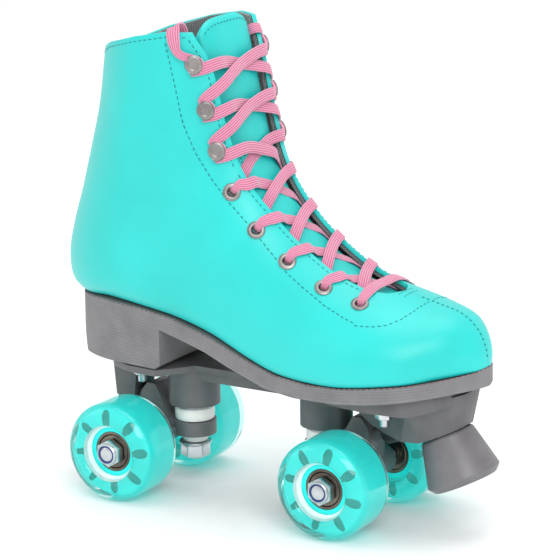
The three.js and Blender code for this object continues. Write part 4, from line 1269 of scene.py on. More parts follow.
@dataclass
class Sole:
    """The moulded sole: a ribbed band, an arch and a heel block."""

    form: BootForm
    rib_pitch: float = 1.5
    rib_depth: float = 0.32
    edge: tuple[Pair, ...] = (
        (-107.5, 0), (-106.3, 7), (-102, 14.5), (-95, 20.5), (-84, 25.8), (-68, 29.4), (-41, 32), (-10, 34.5),
        (20, 37.5), (45, 41), (70, 43.4), (90, 43.6), (107, 39),
        (120, 30.2), (128, 21), (133.4, 13), (136.8, 6),
        (138, 0),
    )  # fmt: skip
    underside: tuple[Pair, ...] = (
        (-107.9, 101), (-98.5, 72.2), (-46, 72.2), (-42.41, 75),
        (-42.4, 94.4), (-26, 90.4), (-13, 87), (3, 81),
        (26, 73.8), (46, 72.2), (72, 73.2), (96, 76.2), (118, 79.4), (130, 81), (139, 81.8),
    )  # fmt: skip

    def outline(self) -> Array:
        """The left half of the sole's plan as evenly spaced, smoothed points."""
        raw = np.array(self.edge, float)
        whole = np.concatenate([raw, mirrored(raw)[::-1][1:-1]])
        count = len(whole)
        fine = []
        for i in range(count):
            corners = [whole[(i + k) % count] for k in (-1, 0, 1, 2)]
            fine += [catmull_rom(corners, t) for t in np.arange(0, 1, 0.1)]
        left = np.array([p for p in fine if p[1] > 0.01])
        left = left[np.argsort(np.unwrap(np.arctan2(left[:, 1], left[:, 0] - 15)))[::-1]]
        run = run_along(left)
        return even(left, run, np.linspace(0, run[-1], 260))

    def build(self) -> None:
        """Lofts the sole along its length, each ring ribbed down its walls."""
        plan = self.outline()
        xs = np.array([p[0] for p in self.underside])
        zs = np.array([p[1] for p in self.underside])
        breast = [-42.42, -42.405, -42.4]
        extra = np.interp(breast, plan[:, 0], plan[:, 1])
        stations = np.concatenate([plan, np.stack([breast, extra], -1)])
        stations = stations[np.argsort(stations[:, 0])]
        levels = 24
        rings = []
        for x, half in stations:
            top = float(self.form.feather(x - self.form.middle_shift)) + 1.1
            bottom = float(np.interp(x, xs, zs))
            bottom = min(bottom, top - 0.6)
            wall = []
            lowest = bottom + 0.6
            for k in range(levels * 2):
                drop = 1.2 + (k // 2) * self.rib_pitch + (0.35 if k % 2 else 0.0) * self.rib_pitch
                inset = self.rib_depth if k % 2 else 0.0
                if drop < top - bottom - 1.0:
                    wall.append((half - inset, top - drop))
                else:
                    wall.append((half, lowest))
            side = [
                (max(0.0, half - 0.9), top), (half - 0.15, top - 0.35),
                *wall, (max(0.0, half - 0.7), bottom)
            ]
            ring = side + [(-y, z) for y, z in reversed(side)]
            rings.append([(x - self.form.middle_shift, y, z) for y, z in ring])
        grid = np.array(rings)
        rows, columns = grid.shape[:2]
        faces = grid_faces(rows, columns, wrap=True)
        faces.append(tuple(range(columns)))
        faces.append(tuple((rows - 1) * columns + j for j in range(columns - 1, -1, -1)))
        obj = mesh_object("ribbed_sole", grid.reshape(-1, 3), faces)
        recalculated(obj, 0.02)
        smooth(obj, 32)
        place(obj, CHASSIS, "outsole", Finishes.SOLE, ["outsole"])
        self.welt(plan)

    def welt(self, plan: Array) -> None:
        """The thread that runs round the top of the sole against the leather."""
        x = plan[:, 0] - self.form.middle_shift
        z = self.form.feather(x) + 1.2
        inset = np.stack([x, np.maximum(plan[:, 1] - 0.75, 0.0), z], -1)[2:-2]
        whole = np.concatenate([inset, mirrored(inset)[::-1], inset[:1]])
        up = np.tile([0.0, 0.0, 1.0], (len(whole), 1))
        place(
            sewn("welt_stitches", [(whole, up)], Stitching(2.6, 3.2, 0.34)),
            CHASSIS, "outsole", Finishes.WELT_THREAD
        )


# ---------------------------------------------------------------- lace


@dataclass(frozen=True)
class Knot:
    """One point of the lace's route, with the way its flat side faces and its size there."""

    point: Array
    normal: Array
    width: float
    thickness: float


@dataclass
class Lace:
    """The flat lace: a bar at the bottom, crosses up the boot, and both ends inside the collar."""

    form: BootForm
    width: float = 6.3
    thickness: float = 1.15
    under: float = -5.25
    over: float = 1.05
    hook_turn: tuple[Triple, ...] = (
        (-2, -4.4, 1.6), (2.4, -3.8, 2), (4.6, 0, 2.2), (2.4, 3.8, 2), (-2, 4.4, 1.6),
    )  # fmt: skip
    tail: tuple[tuple[float, float, float, float], ...] = (
        (-23.6, 37.2, 246, 4.5), (-25.4, 37.4, 252.5, 6.5), (-26.2, 37, 256.6, 7), (-26.5, 34.6, 259.2, 7),
        (-26.5, 30.4, 259, 7), (-26.4, 28.3, 255.6, 7), (-26.6, 27.6, 249.5, 7), (-27, 27.8, 238, 7),
        (-28, 28.2, 226, 7), (-29, 28.4, 214, 7), (-30, 28.4, 203, 7),
    )  # fmt: skip
    tucked: tuple[Triple, ...] = (
        (19.5, 31.8, 1.3), (19.6, 28.6, 1.1), (19.65, 26, -1.2), (19.65, 26, -4.6), (19.6, 28.5, -6.8),
        (19.3, 31.2, -7), (18.6, 33, -7.2), (17.6, 33.4, -7.2), (16.6, 33.4, -7.2), (15.6, 33, -7.2),
    )  # fmt: skip

    def knot(self, s: float, y: float, lift: float, width: float, thickness: float | None = None) -> Knot:
        """A knot lift millimetres above the boot's surface at station s and width y."""
        return Knot(
            self.form.lifted(s, y, lift), self.form.ridge_normal(s, y), width, thickness or self.thickness
        )

    def crossing(self, start: Pair, end: Pair, side: int, on_top: bool, from_under: bool) -> list[Knot]:
        """One strand over the tongue.

        Args:
            start: Station and half-width where it starts.
            end: Station and half-width where it ends, on the other side.
            side: The side on which it starts, 1 or -1.
            on_top: Whether it lies over the strand that it crosses.
            from_under: Whether it starts under its own facing.

        Returns:
            Its knots.
        """
        start_half = self.form.half_opening(start[0])
        end_half = self.form.half_opening(min(end[0], OPENING_EVEN))
        middle = -1.0 if on_top else -3.4
        if from_under:
            heights = (
                (1.08, self.under), (0.92, self.under + 0.3), (0.6, -2.2 if on_top else -5), (0, middle),
                (-0.6, -0.5 if on_top else -3), (-0.9, 1.4), (-1.1, self.over),
            )  # fmt: skip
        else:
            shoulder = 0.0 if on_top else -2.2
            heights = (
                (1.1, self.over), (0.92, 1.4), (0.5, shoulder), (0, middle + 0.3), (-0.5, shoulder),
                (-0.92, 1.4), (-1.1, self.over),
            )  # fmt: skip
        knots = []
        for k, height in heights:
            y = side * k * (start_half if k > 0 else end_half)
            t = (start[1] - side * y) / (start[1] + end[1])
            s = start[0] + (end[0] - start[0]) * t
            sag = 0.6 * self.form.ridge_rise(s) * max(0.0, 1 - k * k)
            knots.append(self.knot(s, y, height - sag, self.width))
        return knots

    def through_eyelet(self, eyelet: Pair, side: int) -> list[Knot]:
        """From the outside through an eyelet to the inside."""
        s, y = eyelet
        return [
            self.knot(s, side * (y - 4), self.over, 5.6),
            self.knot(s, side * (y - 1), 0.9, 4.0, 1.6),
            self.knot(s, side * y, -2.3, 4.0, 1.6),
            self.knot(s, side * (y - 1), -5.9, 4.0, 1.6),
            self.knot(s, side * (y - 4), self.under, 5.6),
        ]

    def round_hook(self, hook: Pair, side: int, steps: int) -> list[Knot]:
        """Round the stem of a hook."""
        s, y = hook
        origin = self.form.ridge_point(s, side * y)
        normal = self.form.ridge_normal(s, side * y)
        up = self.form.ridge_point(s + 0.1, side * y) - origin
        up /= np.linalg.norm(up)
        out = np.cross(up, normal)
        out *= -side / np.linalg.norm(out)
        return [
            Knot(origin + out * a + up * b + normal * lift, normal, 3.8, 1.8)
            for a, b, lift in self.hook_turn[:steps]
        ]

    def climb(self, side: int) -> list[Knot]:
        """Half of the lace, from its first eyelet on a side up to its end inside the collar."""
        knots: list[Knot] = []
        at = side
        eyelets, hooks = self.form.eyelets, self.form.hooks
        for i, eyelet in enumerate(eyelets):
            knots += self.through_eyelet(eyelet, at)
            to_hook = i + 1 == len(eyelets)
            target = (hooks[0][0] - 0.45, hooks[0][1]) if to_hook else eyelets[i + 1]
            knots += self.crossing(eyelet, target, at, at > 0 if to_hook else at < 0, True)
            at = -at
        for i, hook in enumerate(hooks):
            final = i + 1 == len(hooks)
            knots += self.round_hook(hook, at, 3 if final and at < 0 else len(self.hook_turn))
            if not final:
                start = (hook[0] + 0.45, hook[1])
                end = (hooks[i + 1][0] - 0.45, hooks[i + 1][1])
                knots += self.crossing(start, end, at, at < 0, False)
                at = -at
        if at > 0:
            return [*knots, *(self.knot(s, y, lift, 5.6) for s, y, lift in self.tucked)]
        for x, y, z, width in self.tail:
            normal = np.array([0.42, at * 0.9, 0.1])
            point = np.array([x - self.form.middle_shift, at * y, z])
            knots.append(Knot(point, normal / np.linalg.norm(normal), width, self.thickness))
        return knots

    def knots(self) -> list[Knot]:
        """The whole route, from one end inside the collar to the other."""
        s = self.form.eyelets[0][0]
        half = self.form.half_opening(s)
        rise = self.form.ridge_rise(s)
        bar = [
            self.knot(s, half, self.over, self.width),
            self.knot(s, 0.0, -0.6 - 0.3 * rise, self.width),
            self.knot(s, -half, self.over, self.width),
        ]
        return [*self.climb(1)[::-1], *bar, *self.climb(-1)]

    def smoothed(self, steps: int) -> tuple[Array, Array, Array, Array]:
        """The route as an even, smooth run of points with directions, widths and thicknesses."""
        knots = self.knots()
        points = np.array([k.point for k in knots])
        data = np.array([[*k.normal, k.width, k.thickness] for k in knots])
        gaps = np.linalg.norm(np.diff(points, axis=0), axis=1)
        run = np.concatenate([[0], np.cumsum(np.maximum(gaps, 1e-3))])
        slopes = np.zeros_like(points)
        for i in range(1, len(points) - 1):
            h0, h1 = run[i] - run[i - 1], run[i + 1] - run[i]
            before = (points[i] - points[i - 1]) / h0
            after = (points[i + 1] - points[i]) / h1
            slopes[i] = (before * h1 + after * h0) / (h0 + h1)
        slopes[0] = (points[1] - points[0]) / (run[1] - run[0])
        slopes[-1] = (points[-1] - points[-2]) / (run[-1] - run[-2])
        out, more = [], []
        for i in range(len(points) - 1):
            h = run[i + 1] - run[i]
            count = max(2, int(h / 0.9), steps if h > 1.5 else 3)
            for k in range(count):
                t = k / count
                a = (1 + 2 * t) * (1 - t) ** 2
                b = t * (1 - t) ** 2
                c = t * t * (3 - 2 * t)
                d = t * t * (t - 1)
                out.append(a * points[i] + b * h * slopes[i] + c * points[i + 1] + d * h * slopes[i + 1])
                ease = t * t * (3 - 2 * t)
                more.append(data[i] * (1 - ease) + data[i + 1] * ease)
        out.append(points[-1])
        more.append(data[-1])
        extra = np.array(more)
        return eased(np.array(out), 9), unit(extra[:, :3]), extra[:, 3], extra[:, 4]

    def build(self) -> float:
        """Makes the ribbon with a rounded section and a UV map in millimetres.

        Returns:
            The lace's length in millimetres.
        """
        points, normals, widths, depths = self.smoothed(4)
        ahead = unit(np.gradient(points, axis=0))
        section = (
            (0.5, 0.0), (0.47, 0.34), (0.36, 0.5), (0.12, 0.53), (-0.12, 0.53), (-0.36, 0.5), (-0.47, 0.34),
            (-0.5, 0.0), (-0.47, -0.34), (-0.36, -0.5), (-0.12, -0.53),
            (0.12, -0.53), (0.36, -0.5), (0.47, -0.34),
        )  # fmt: skip
        flat = normals[0].copy()
        rings = []
        for centre, forward, normal, width, depth in zip(points, ahead, normals, widths, depths):
            flat -= forward * (flat @ forward)
            flat /= np.linalg.norm(flat)
            target = normal - forward * (normal @ forward)
            if np.linalg.norm(target) > 0.6:
                target /= np.linalg.norm(target)
                if target @ flat < 0:
                    target = -target
                flat = flat * 0.6 + target * 0.4
                flat /= np.linalg.norm(flat)
            side = np.cross(forward, flat)
            rings.append([centre + side * a * width + flat * b * depth for a, b in section])
        count = len(section)
        grid = np.array(rings)
        faces = grid_faces(len(points), count, wrap=True)
        faces.append(tuple(range(count - 1, -1, -1)))
        faces.append(tuple((len(points) - 1) * count + j for j in range(count)))
        obj = mesh_object("flat_lace", grid.reshape(-1, 3), faces)
        run = run_along(points)
        layer = obj.data.uv_layers.new(name="along_lace")
        for loop in obj.data.loops:
            row, corner = divmod(loop.vertex_index, count)
            layer.data[loop.index].uv = (run[row], section[corner][0] * 7.0)
        work = bmesh.new()
        work.from_mesh(obj.data)
        bmesh.ops.recalc_face_normals(work, faces=work.faces)
        work.to_mesh(obj.data)
        work.free()
        smooth(obj, 60)
        place(obj, CHASSIS, "lace", Finishes.LACE, ["lace"])
        return float(run[-1])


@dataclass
class Hardware:
    """The metal eyelets and speed hooks of the boot."""

    form: BootForm

    def seat(self, piece: Object, s: float, y: float, lift: float) -> Object:
        """Lays a piece made about Z on the boot at station s and width y, its X pointing along the boot."""
        normal = Vector(self.form.ridge_normal(s, y))
        along = Vector(self.form.ridge_point(s + 0.1, y) - self.form.ridge_point(s - 0.1, y)).normalized()
        side = normal.cross(along).normalized()
        along = side.cross(normal).normalized()
        turn = Matrix((along, side, normal)).transposed().to_4x4()
        spot = Vector(self.form.lifted(s, y, lift)) * MM
        piece.data.transform(Matrix.Translation(spot) @ turn)
        return piece

    def eyelet(self) -> Object:
        """One rolled eyelet: a flange rolled over into a barrel."""
        profile = rounded_profile(
            (
                (2.3, -3.0, 0.1), (2.65, -3.0, 0.1), (2.72, -0.1, 0.2), (4.75, -0.1, 0.3), (4.6, 0.55, 0.5),
                (3.2, 0.95, 0.8), (2.3, 0.45, 0.6),
            ),
            5
        )
        return smooth(spun("eyelet_model", profile, 40), 50)

    def hook(self) -> Object:
        """One speed hook: a riveted base, a short stem and a domed cap, cut straight on its inner side."""
        base = spun(
            "hook_base",
            rounded_profile(
                (
                    (0.0, 0.0, 0), (4.3, 0.0, 0.1), (4.2, 0.7, 0.3), (1.9, 1.0, 0.4), (1.7, 2.9, 0.3),
                    (4.5, 3.15, 0.2), (4.8, 3.6, 0.4), (4.2, 4.3, 0.7),
                    (2.6, 4.35, 0.4), (2.2, 4.0, 0.3), (0.0, 4.0, 0),
                ),
                5,
            ),
            48,
        )  # fmt: skip
        only(base)
        for vertex in base.data.vertices:
            if vertex.co.z > 2.95 * MM:
                vertex.co.y = max(vertex.co.y, -2.3 * MM) + 0.5 * MM
                vertex.co.x *= 1.06
        return smooth(base, 45)

    def build(self) -> None:
        """Ten eyelets joined into one piece, and six hooks, each with a mesh of its own."""
        eyelet = self.eyelet()
        rings = []
        for s, y in self.form.eyelets:
            for side in (1, -1):
                twin = copied(eyelet, "eyelet", Matrix.Identity(4))
                rings.append(self.seat(twin, s, side * y, 0.05))
        bpy.data.objects.remove(eyelet)
        place(joined("eyelet_rings", rings), CHASSIS, "steel", Finishes.EYELET)
        hook = self.hook()
        for i, (s, y) in enumerate(self.form.hooks):
            for side, word in ((1, "left"), (-1, "right")):
                turn = Matrix.Rotation(0.0 if side > 0 else math.pi, 4, "Z")
                twin = copied(hook, f"{word}_hook_{i + 1}", turn)
                self.seat(twin, s, side * y, 0.02)
                place(twin, CHASSIS, "steel", Finishes.EYELET)
        bpy.data.objects.remove(hook)


# ---------------------------------------------------------------- hard parts


def softened(
    node: str, name: str, body: str, slot: str, finish: Finish, width_mm: float, angle: float = 42.0
) -> Object:
    """A copy of a moulded or cast CAD solid with its edges rounded, standing for that solid.

    Args:
        node: The CAD node.
        name: The new piece's name.
        body: The body that it rides on.
        slot: The record's material slot.
        finish: Its finish.
        width_mm: How wide the rounding is.
        angle: The least angle in degrees of an edge that is rounded.

    Returns:
        The new piece.
    """
    source = bpy.data.objects[node]
    mesh = source.data.copy()
    obj = linked(name, mesh)
    mesh.name = name
    work = bmesh.new()
    work.from_mesh(mesh)
    bmesh.ops.remove_doubles(work, verts=work.verts, dist=0.004 * MM)
    bmesh.ops.dissolve_limit(
        work, angle_limit=math.radians(1.0), verts=work.verts, edges=work.edges, delimit={"NORMAL"}
    )
    bmesh.ops.recalc_face_normals(work, faces=work.faces)
    work.to_mesh(mesh)
    work.free()
    smooth(bevelled(obj, width_mm, angle, 3), 38)
    return place(obj, body, slot, finish, [node])


class Side(Enum):
    """The skate's two sides, with their sign along Y."""

    LEFT = 1
    RIGHT = -1


class End(Enum):
    """The skate's two ends, with their sign along X."""

    FRONT = 1
    REAR = -1


@dataclass
class Wheel:
    """A cast wheel: clear tyre, windowed core, two bearings and a locking nut. Sizes are millimetres."""

    radius: float = 27.0
    half_width: float = 16.0
    core_radius: float = 22.8
    core_half: float = 9.6
    core_inner_half: float = 12.6
    pocket_depth: float = 3.2
    hub_radius: float = 13.2
    bearing_face: float = 9.1
    window_radius: float = 18.6
    windows: int = 8

    def tyre(self) -> Object:
        """The cast tyre as one clear body round the core, with rolled shoulders and dished sides."""
        half = self.half_width
        side = (
            (13.45, self.bearing_face + 0.2, 0.2), (16.0, half - 1.2, 1.2), (17.6, half - 0.05, 1.0),
            (22.6, half - 0.05, 2.0), (self.radius - 0.02, half - 4.2, 4.2),
        )  # fmt: skip
        other = tuple((r, -y, fillet) for r, y, fillet in reversed(side))
        return smooth(spun("tyre_model", rounded_profile((*side, *other), 7), 112), 50)

    def core(self, phase: float) -> Object:
        """The moulded core: a disc with oval windows and a raised hub that seats the bearings.

        Args:
            phase: The angle of its first window in degrees.

        Returns:
            The core about Z.
        """
        seat, face, half, inner = 11.05, self.bearing_face, self.core_half, self.core_inner_half
        profile = rounded_profile(
            (
                (9.2, -1.8, 0.2), (seat, -1.8, 0.1), (seat, -face, 0.2), (self.hub_radius, -face, 0.4),
                (self.hub_radius, -face + 0.6, 0.3), (15.6, -inner, 0.9), (self.core_radius, -inner, 1.6),
                (self.core_radius, half, 1.6), (15.6, half, 0.9), (self.hub_radius, face - 0.6, 0.3),
                (self.hub_radius, face, 0.4), (seat, face, 0.2), (seat, 1.8, 0.1),
                (9.2, 1.8, 0.2),
            ),
            4,
        )  # fmt: skip
        core = spun("core_model", profile, 96)
        cutters = []
        for i in range(self.windows):
            nothing_selected()
            bpy.ops.mesh.primitive_cylinder_add(
                vertices=24, radius=2.5 * MM, depth=2 * self.pocket_depth * MM
            )
            window = bpy.context.object
            angle = math.radians(phase) + i * math.tau / self.windows
            stretch = Matrix.Diagonal((1.4, 1.0, 1.0, 1.0))
            for level in (half, -inner):
                move = Matrix.Translation((self.window_radius * MM, 0, level * MM))
                pocket = copied(window, "pocket", Matrix.Rotation(angle, 4, "Z") @ move @ stretch)
                cutters.append(pocket)
            bpy.data.objects.remove(window)
        recalculated(cut(core, joined("window_cutter", cutters)))
        core.data.materials.clear()
        core.data.materials.append(Finishes.of(Finishes.CORE))
        core.data.materials.append(Finishes.of(Finishes.SHADED_POCKET))
        # Painted shade: faces deep in the pockets take the darker, glowing pocket finish.
        for face in core.data.polygons:
            reach = math.hypot(face.center.x, face.center.y) / MM
            inside = 0.25 - inner < face.center.z / MM < half - 0.25 and 14.9 < reach < 22.2
            face.material_index = 1 if inside else 0
        return smooth(core, 40)

    def lip(self) -> Object:
        """The pale ring that lines the dish of the tyre's outer side; its finish has a faint painted glow."""
        half = self.half_width
        corners = (
            (13.5, self.bearing_face + 0.35, 0), (15.6, half - 2.1, 0), (15.85, half - 2.1, 0),
            (13.9, self.bearing_face + 0.35, 0),
        )  # fmt: skip
        return smooth(spun("lip_model", rounded_profile(corners), 96), 40)

    def bearing(self) -> Object:
        """A shielded bearing: outer race, recessed shield and inner race."""
        outer, inner, half = 11.0, 4.2, 3.5
        profile = (
            (outer, -half, 0.3), (outer, half, 0.3), (9.5, half, 0.15), (9.35, half - 1.0, 0.05),
            (8.9, half - 0.2, 0.15), (6.5, half - 0.2, 0.15), (6.35, half - 1.1, 0.05), (6.1, half, 0.15),
            (inner, half, 0.25), (inner, -half, 0.25), (6.1, -half, 0.15), (6.35, -half + 0.7, 0.05),
            (6.5, -half + 0.2, 0.15), (8.9, -half + 0.2, 0.15),
            (9.35, -half + 0.55, 0.05), (9.5, -half, 0.15),
        )  # fmt: skip
        return smooth(spun("bearing_model", rounded_profile(profile, 4), 64), 35)

    def nut(self) -> tuple[Object, Object]:
        """A hexagon locking nut with its crown, and the nylon ring in it.

        Returns:
            The nut and its ring, standing on z = 0.
        """
        nothing_selected()
        bpy.ops.mesh.primitive_cylinder_add(
            vertices=6, radius=13 / math.sqrt(3) * MM, depth=5.2 * MM, location=(0, 0, 2.6 * MM)
        )
        hexagon = settled(bpy.context.object)
        bore = spun("nut_bore", ((0.0, -1.0), (4.15, -1.0), (4.15, 9.0), (0.0, 9.0)), 40)
        bevelled(cut(hexagon, bore), 0.45, 50)
        crown = spun(
            "nut_crown",
            rounded_profile(
                (
                    (4.2, 4.6, 0), (6.1, 4.6, 0.2), (6.0, 6.2, 0.8), (5.3, 6.85, 0.4), (4.9, 6.7, 0.1),
                    (4.9, 5.4, 0),
                ),
                5
            ),
            48,
        )
        ring = spun(
            "lock_ring",
            rounded_profile(((3.95, 5.5, 0), (4.85, 5.5, 0), (4.85, 6.6, 0.2), (3.95, 6.6, 0.2))), 48
        )
        return smooth(joined("nut_model", [hexagon, crown]), 40), smooth(ring, 40)

    def build(self) -> None:
        """All four wheels, each with its own meshes and its own body."""
        tyre, bearing, lip = self.tyre(), self.bearing(), self.lip()
        nut, ring = self.nut()
        cores = {End.FRONT: self.core(-11.5), End.REAR: self.core(6.5)}
        for end in End:
            for side in Side:
                name = f"{end.name.lower()}_{side.name.lower()}"
                centre = frame_centre(f"{name}_tyre")
                outward = Matrix.Rotation(math.radians(-90 * side.value), 4, "X")
                spot = Matrix.Translation(centre) @ outward
                body = f"{name}_wheel"
                place(copied(tyre, f"cast_{name}_tyre", spot), body, "tyre", Finishes.TYRE, [f"{name}_tyre"])
                place(copied(cores[end], f"core_{name}", spot), body, "hub", None, [f"{name}_hub"])
                place(copied(lip, f"lip_{name}", spot), body, "tyre", Finishes.LIP)
                for word, sign in (("outboard", 1), ("inboard", -1)):
                    middle = Matrix.Translation((0, 0, sign * (self.bearing_face - 3.5) * MM))
                    place(
                        copied(bearing, f"shielded_{name}_{word}", spot @ middle),
                        body,
                        "bearing",
                        Finishes.BEARING,
                        [f"{name}_bearing_{word}"],
                    )
                truck = f"{end.name.lower()}_truck"
                stand = spot @ Matrix.Translation((0, 0, (self.bearing_face + 0.3) * MM))
                place(
                    copied(nut, f"locking_{name}_nut", stand), truck,
                    "steel", Finishes.STEEL, [f"{name}_axle_nut"]
                )
                place(copied(ring, f"nylon_{name}_ring", stand), truck, "nylon", Finishes.LOCK_RING)
        for model in (tyre, bearing, lip, nut, ring, *cores.values()):
            bpy.data.objects.remove(model)


@dataclass
class Truck:
    """One steering truck: hanger, axle, kingpin with its cushions, washers and nut."""

    end: End

    def build(self) -> None:
        """Rounds the casting and turns the cushions, washers and pins."""
        name = self.end.name.lower()
        body = f"{name}_truck"
        softened(f"{name}_hanger", f"cast_{name}_hanger", body, "hanger", Finishes.CASTING, 0.7)
        self.axle(name, body)
        self.cushion(
            name, "upper_cushion",
            ((4.4, 0, 0.2), (10.6, 0, 0.6), (10.9, 0.5, 0.8), (10.6, 1, 0.6), (4.4, 1, 0.2))
        )
        self.cushion(name, "lower_cushion", ((4.4, 0, 0.2), (6.6, 0, 0.6), (7.9, 1, 0.8), (4.4, 1, 0.2)))
        for part, outer in (("upper_washer", 11.4), ("lower_washer", 8.9)):
            low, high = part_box(f"{name}_{part}")
            centre = (low + high) / 2
            half = (high.z - low.z) / 2 / MM
            ring = spun(
                f"pressed_{name}_{part}",
                rounded_profile(
                    (
                        (4.35, -half, 0.1), (outer - 0.5, -half, 0.3),
                        (outer, -half * 0.2, 0.3), (outer, half, 0.3), (4.35, half, 0.1)
                    )
                ),
                56,
            )
            ring.data.transform(Matrix.Translation(centre))
            place(smooth(ring, 40), CHASSIS, "steel", Finishes.STEEL, [f"{name}_{part}"])
        softened(f"{name}_kingpin_nut", f"{name}_hexagon_nut", CHASSIS, "steel", Finishes.STEEL, 0.5)
        softened(f"{name}_kingpin", f"{name}_threaded_kingpin", CHASSIS, "steel", Finishes.STEEL, 0.4)
        softened(f"{name}_pivot_cup", f"{name}_seated_pivot_cup", CHASSIS, "nylon", Finishes.CUP, 0.3)

    def axle(self, name: str, body: str) -> None:
        """The axle as a turned rod with chamfered, threaded ends."""
        low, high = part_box(f"{name}_axle")
        centre = (low + high) / 2
        reach = (high.y - low.y) / 2 / MM
        rod_radius, root, tip = 3.8, 3.5, 3.3
        corners: list[Triple] = [(0.0, -reach, 0), (tip, -reach, 0), (rod_radius, -reach + 0.5, 0)]
        thread = [reach - 7.0 + 0.55 * k for k in range(12)]
        for z in [-t for t in reversed(thread)] + thread:
            corners += [(rod_radius, z - 0.14, 0), (root, z, 0), (rod_radius, z + 0.14, 0)]
        corners += [(rod_radius, reach - 0.3, 0), (tip, reach, 0), (0.0, reach, 0)]
        rod = spun(f"turned_{name}_axle", rounded_profile(corners), 32)
        rod.data.transform(Matrix.Translation(centre) @ Matrix.Rotation(math.radians(90), 4, "X"))
        place(smooth(rod, 35), body, "steel", Finishes.STEEL, [f"{name}_axle"])

    def cushion(self, name: str, part: str, shape: Sequence[Triple]) -> None:
        """One turned cushion that fills the height of its CAD node.

        Args:
            name: The end's name.
            part: The node's own part of its name.
            shape: Radius, share of the height and rounding of each corner.
        """
        low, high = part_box(f"{name}_{part}")
        height = (high.z - low.z) / MM
        profile = [(r, z * height, fillet) for r, z, fillet in shape]
        ring = spun(f"turned_{name}_{part}", rounded_profile(profile, 6), 64)
        ring.data.transform(Matrix.Translation(((low.x + high.x) / 2, (low.y + high.y) / 2, low.z)))
        place(smooth(ring, 40), CHASSIS, "cushion", Finishes.CUSHION, [f"{name}_{part}"])


@dataclass
class ToeStop:
    """The rubber toe stop on its stem, tilted forward under the nose."""

    tilt: float = 25.0
    height: float = 27.5

    def build(self) -> None:
        """Turns the rubber with its chamfered foot and places it on its stem."""
        corners = (
            (7.8, -14.0, 0), (0.0, -14.0, 0), (0.0, -self.height, 0), (16.8, -self.height, 0.6),
            (19.8, -self.height + 3.2, 0.9), (19.7, -self.height + 4.4, 0.4),
            (14.4, -1.4, 0.8), (13.4, -0.35, 0.5),
            (7.8, -0.35, 0),
        )  # fmt: skip
        rubber = spun("turned_toe_stop", rounded_profile(corners, 5), 96)
        low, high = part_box("toe_stop_bolt")
        tilt = Matrix.Rotation(math.radians(-self.tilt), 4, "Y")
        middle = (low + high) / 2
        stem_middle = tilt @ Vector((0, 0, 2.0 * MM))
        rubber.data.transform(Matrix.Translation(middle - stem_middle) @ tilt)
        place(smooth(rubber, 35), CHASSIS, "stop", Finishes.STOP, ["toe_stop"])
        softened("toe_stop_bolt", "toe_stop_stem", CHASSIS, "steel", Finishes.STEEL, 0.4)


@dataclass
class Plate:
    """The moulded base plate and its mounting bolts."""

    def build(self) -> None:
        """Rounds the plate's edges, and the bolts and nuts that hold it."""
        softened("base_plate", "moulded_plate", CHASSIS, "plate", Finishes.PLATE, 0.9)
        for end in End:
            for side in Side:
                name = f"{end.name.lower()}_{side.name.lower()}"
                softened(f"{name}_mount_bolt", f"{name}_bolt", CHASSIS, "steel", Finishes.STEEL, 0.3)
                softened(f"{name}_mount_nut", f"{name}_nut", CHASSIS, "steel", Finishes.STEEL, 0.45)
        softened("insole_board", "lasting_board", CHASSIS, "board", Finishes.BOARD, 0.3)
        softened("insole", "foam_insole", CHASSIS, "insole", Finishes.FOOTBED, 1.2)


# ---------------------------------------------------------------- studio


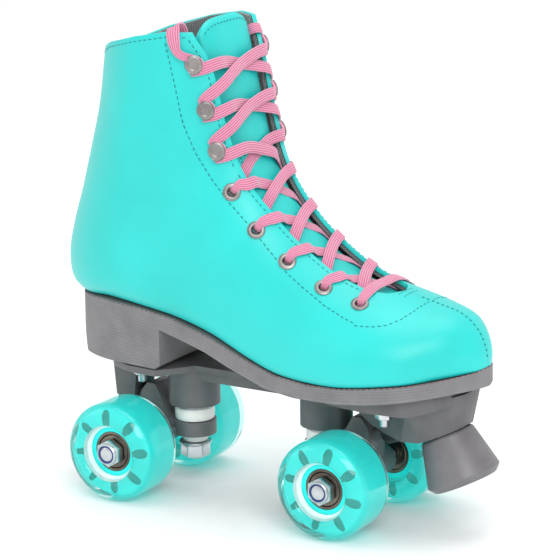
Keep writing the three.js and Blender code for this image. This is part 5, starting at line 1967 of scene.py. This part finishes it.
@dataclass(frozen=True)
class Studio:
    """The pale floor, the soft lights and the camera."""

    azimuth: float = 31.677
    elevation: float = 15.039
    roll: float = -0.774
    distance: float = 1.63457
    sensor_mm: float = 36.0
    lens_mm: float = 199.026643
    aim: Triple = (0.00008, 0.0, 0.110)
    shift: Pair = (0.00366, 0.03825)

    def build(self) -> None:
        """Makes the whole studio."""
        self.camera()
        self.floor()
        self.lights()

    def camera(self) -> None:
        """A long lens at the height of a hand, a little in front of the skate's right side."""
        azimuth, elevation = math.radians(self.azimuth), math.radians(self.elevation)
        level = math.cos(elevation)
        away = Vector((level * math.sin(azimuth), -level * math.cos(azimuth), math.sin(elevation)))
        forward = -away
        right = forward.cross(Vector((0, 0, 1))).normalized()
        up = right.cross(forward).normalized()
        roll = math.radians(self.roll)
        x_axis = right * math.cos(roll) + up * math.sin(roll)
        y_axis = up * math.cos(roll) - right * math.sin(roll)
        data = bpy.data.cameras.new("studio_camera")
        data.sensor_width = self.sensor_mm
        data.lens = self.lens_mm
        data.shift_x, data.shift_y = self.shift
        data.clip_end = 50.0
        camera = linked("studio_camera", data)
        turn = Matrix((x_axis, y_axis, away)).transposed().to_4x4()
        camera.matrix_world = Matrix.Translation(Vector(self.aim) + away * self.distance) @ turn
        bpy.context.scene.camera = camera

    def floor(self) -> None:
        """A large pale floor under the wheels."""
        nothing_selected()
        bpy.ops.mesh.primitive_plane_add(size=12.0, location=(0, 0, -0.0002))
        floor = bpy.context.object
        floor.name = "studio_floor"
        floor_finish = Finish("pale_floor", "#fbfbfb", "#f8f8f8", Pattern.PLAIN, 0.75)
        dress(floor, floor_finish)

    def lights(self) -> None:
        """A bright even room, a broad key from the left and above, and a soft fill from the toe's side."""
        world = bpy.data.worlds.new("studio_room")
        world.use_nodes = True
        background = world.node_tree.nodes["Background"]
        background.inputs[0].default_value = (1.0, 1.0, 1.0, 1.0)
        background.inputs[1].default_value = 0.85
        bpy.context.scene.world = world
        for name, spot, size, power in (
            ("key", (1.3, -1.5, 1.5), 1.2, 24.0),
            ("fill", (-1.5, -1.0, 0.9), 1.2, 5.0),
            ("top", (0.1, 0.3, 2.0), 1.6, 15.0),
        ):
            data = bpy.data.lights.new(name, "AREA")
            data.energy = power
            data.size = size
            lamp = linked(name, data)
            lamp.location = spot
            direction = Vector((0.0, 0.0, 0.12)) - Vector(spot)
            lamp.rotation_euler = direction.to_track_quat("-Z", "Y").to_euler()
        bpy.context.scene.view_settings.view_transform = "Standard"


def main() -> None:
    """Builds every sub-assembly in order."""
    logging.basicConfig(level=logging.INFO, format="%(name)s: %(message)s")
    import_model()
    nothing_selected()
    front, rear = frame_centre("front_axle"), frame_centre("rear_axle")
    form = BootForm(middle_x=(front.x + rear.x) / 2 / MM)
    Studio().build()
    boot = Boot(form)
    boot.uppers()
    boot.linings()
    boot.tongue()
    boot.seams()
    Sole(form).build()
    LOG.info("lace length %.0f mm", Lace(form).build())
    Hardware(form).build()
    Plate().build()
    ToeStop().build()
    for end in End:
        Truck(end).build()
    Wheel().build()
    nothing_selected()


if __name__ == "__main__":
    main()
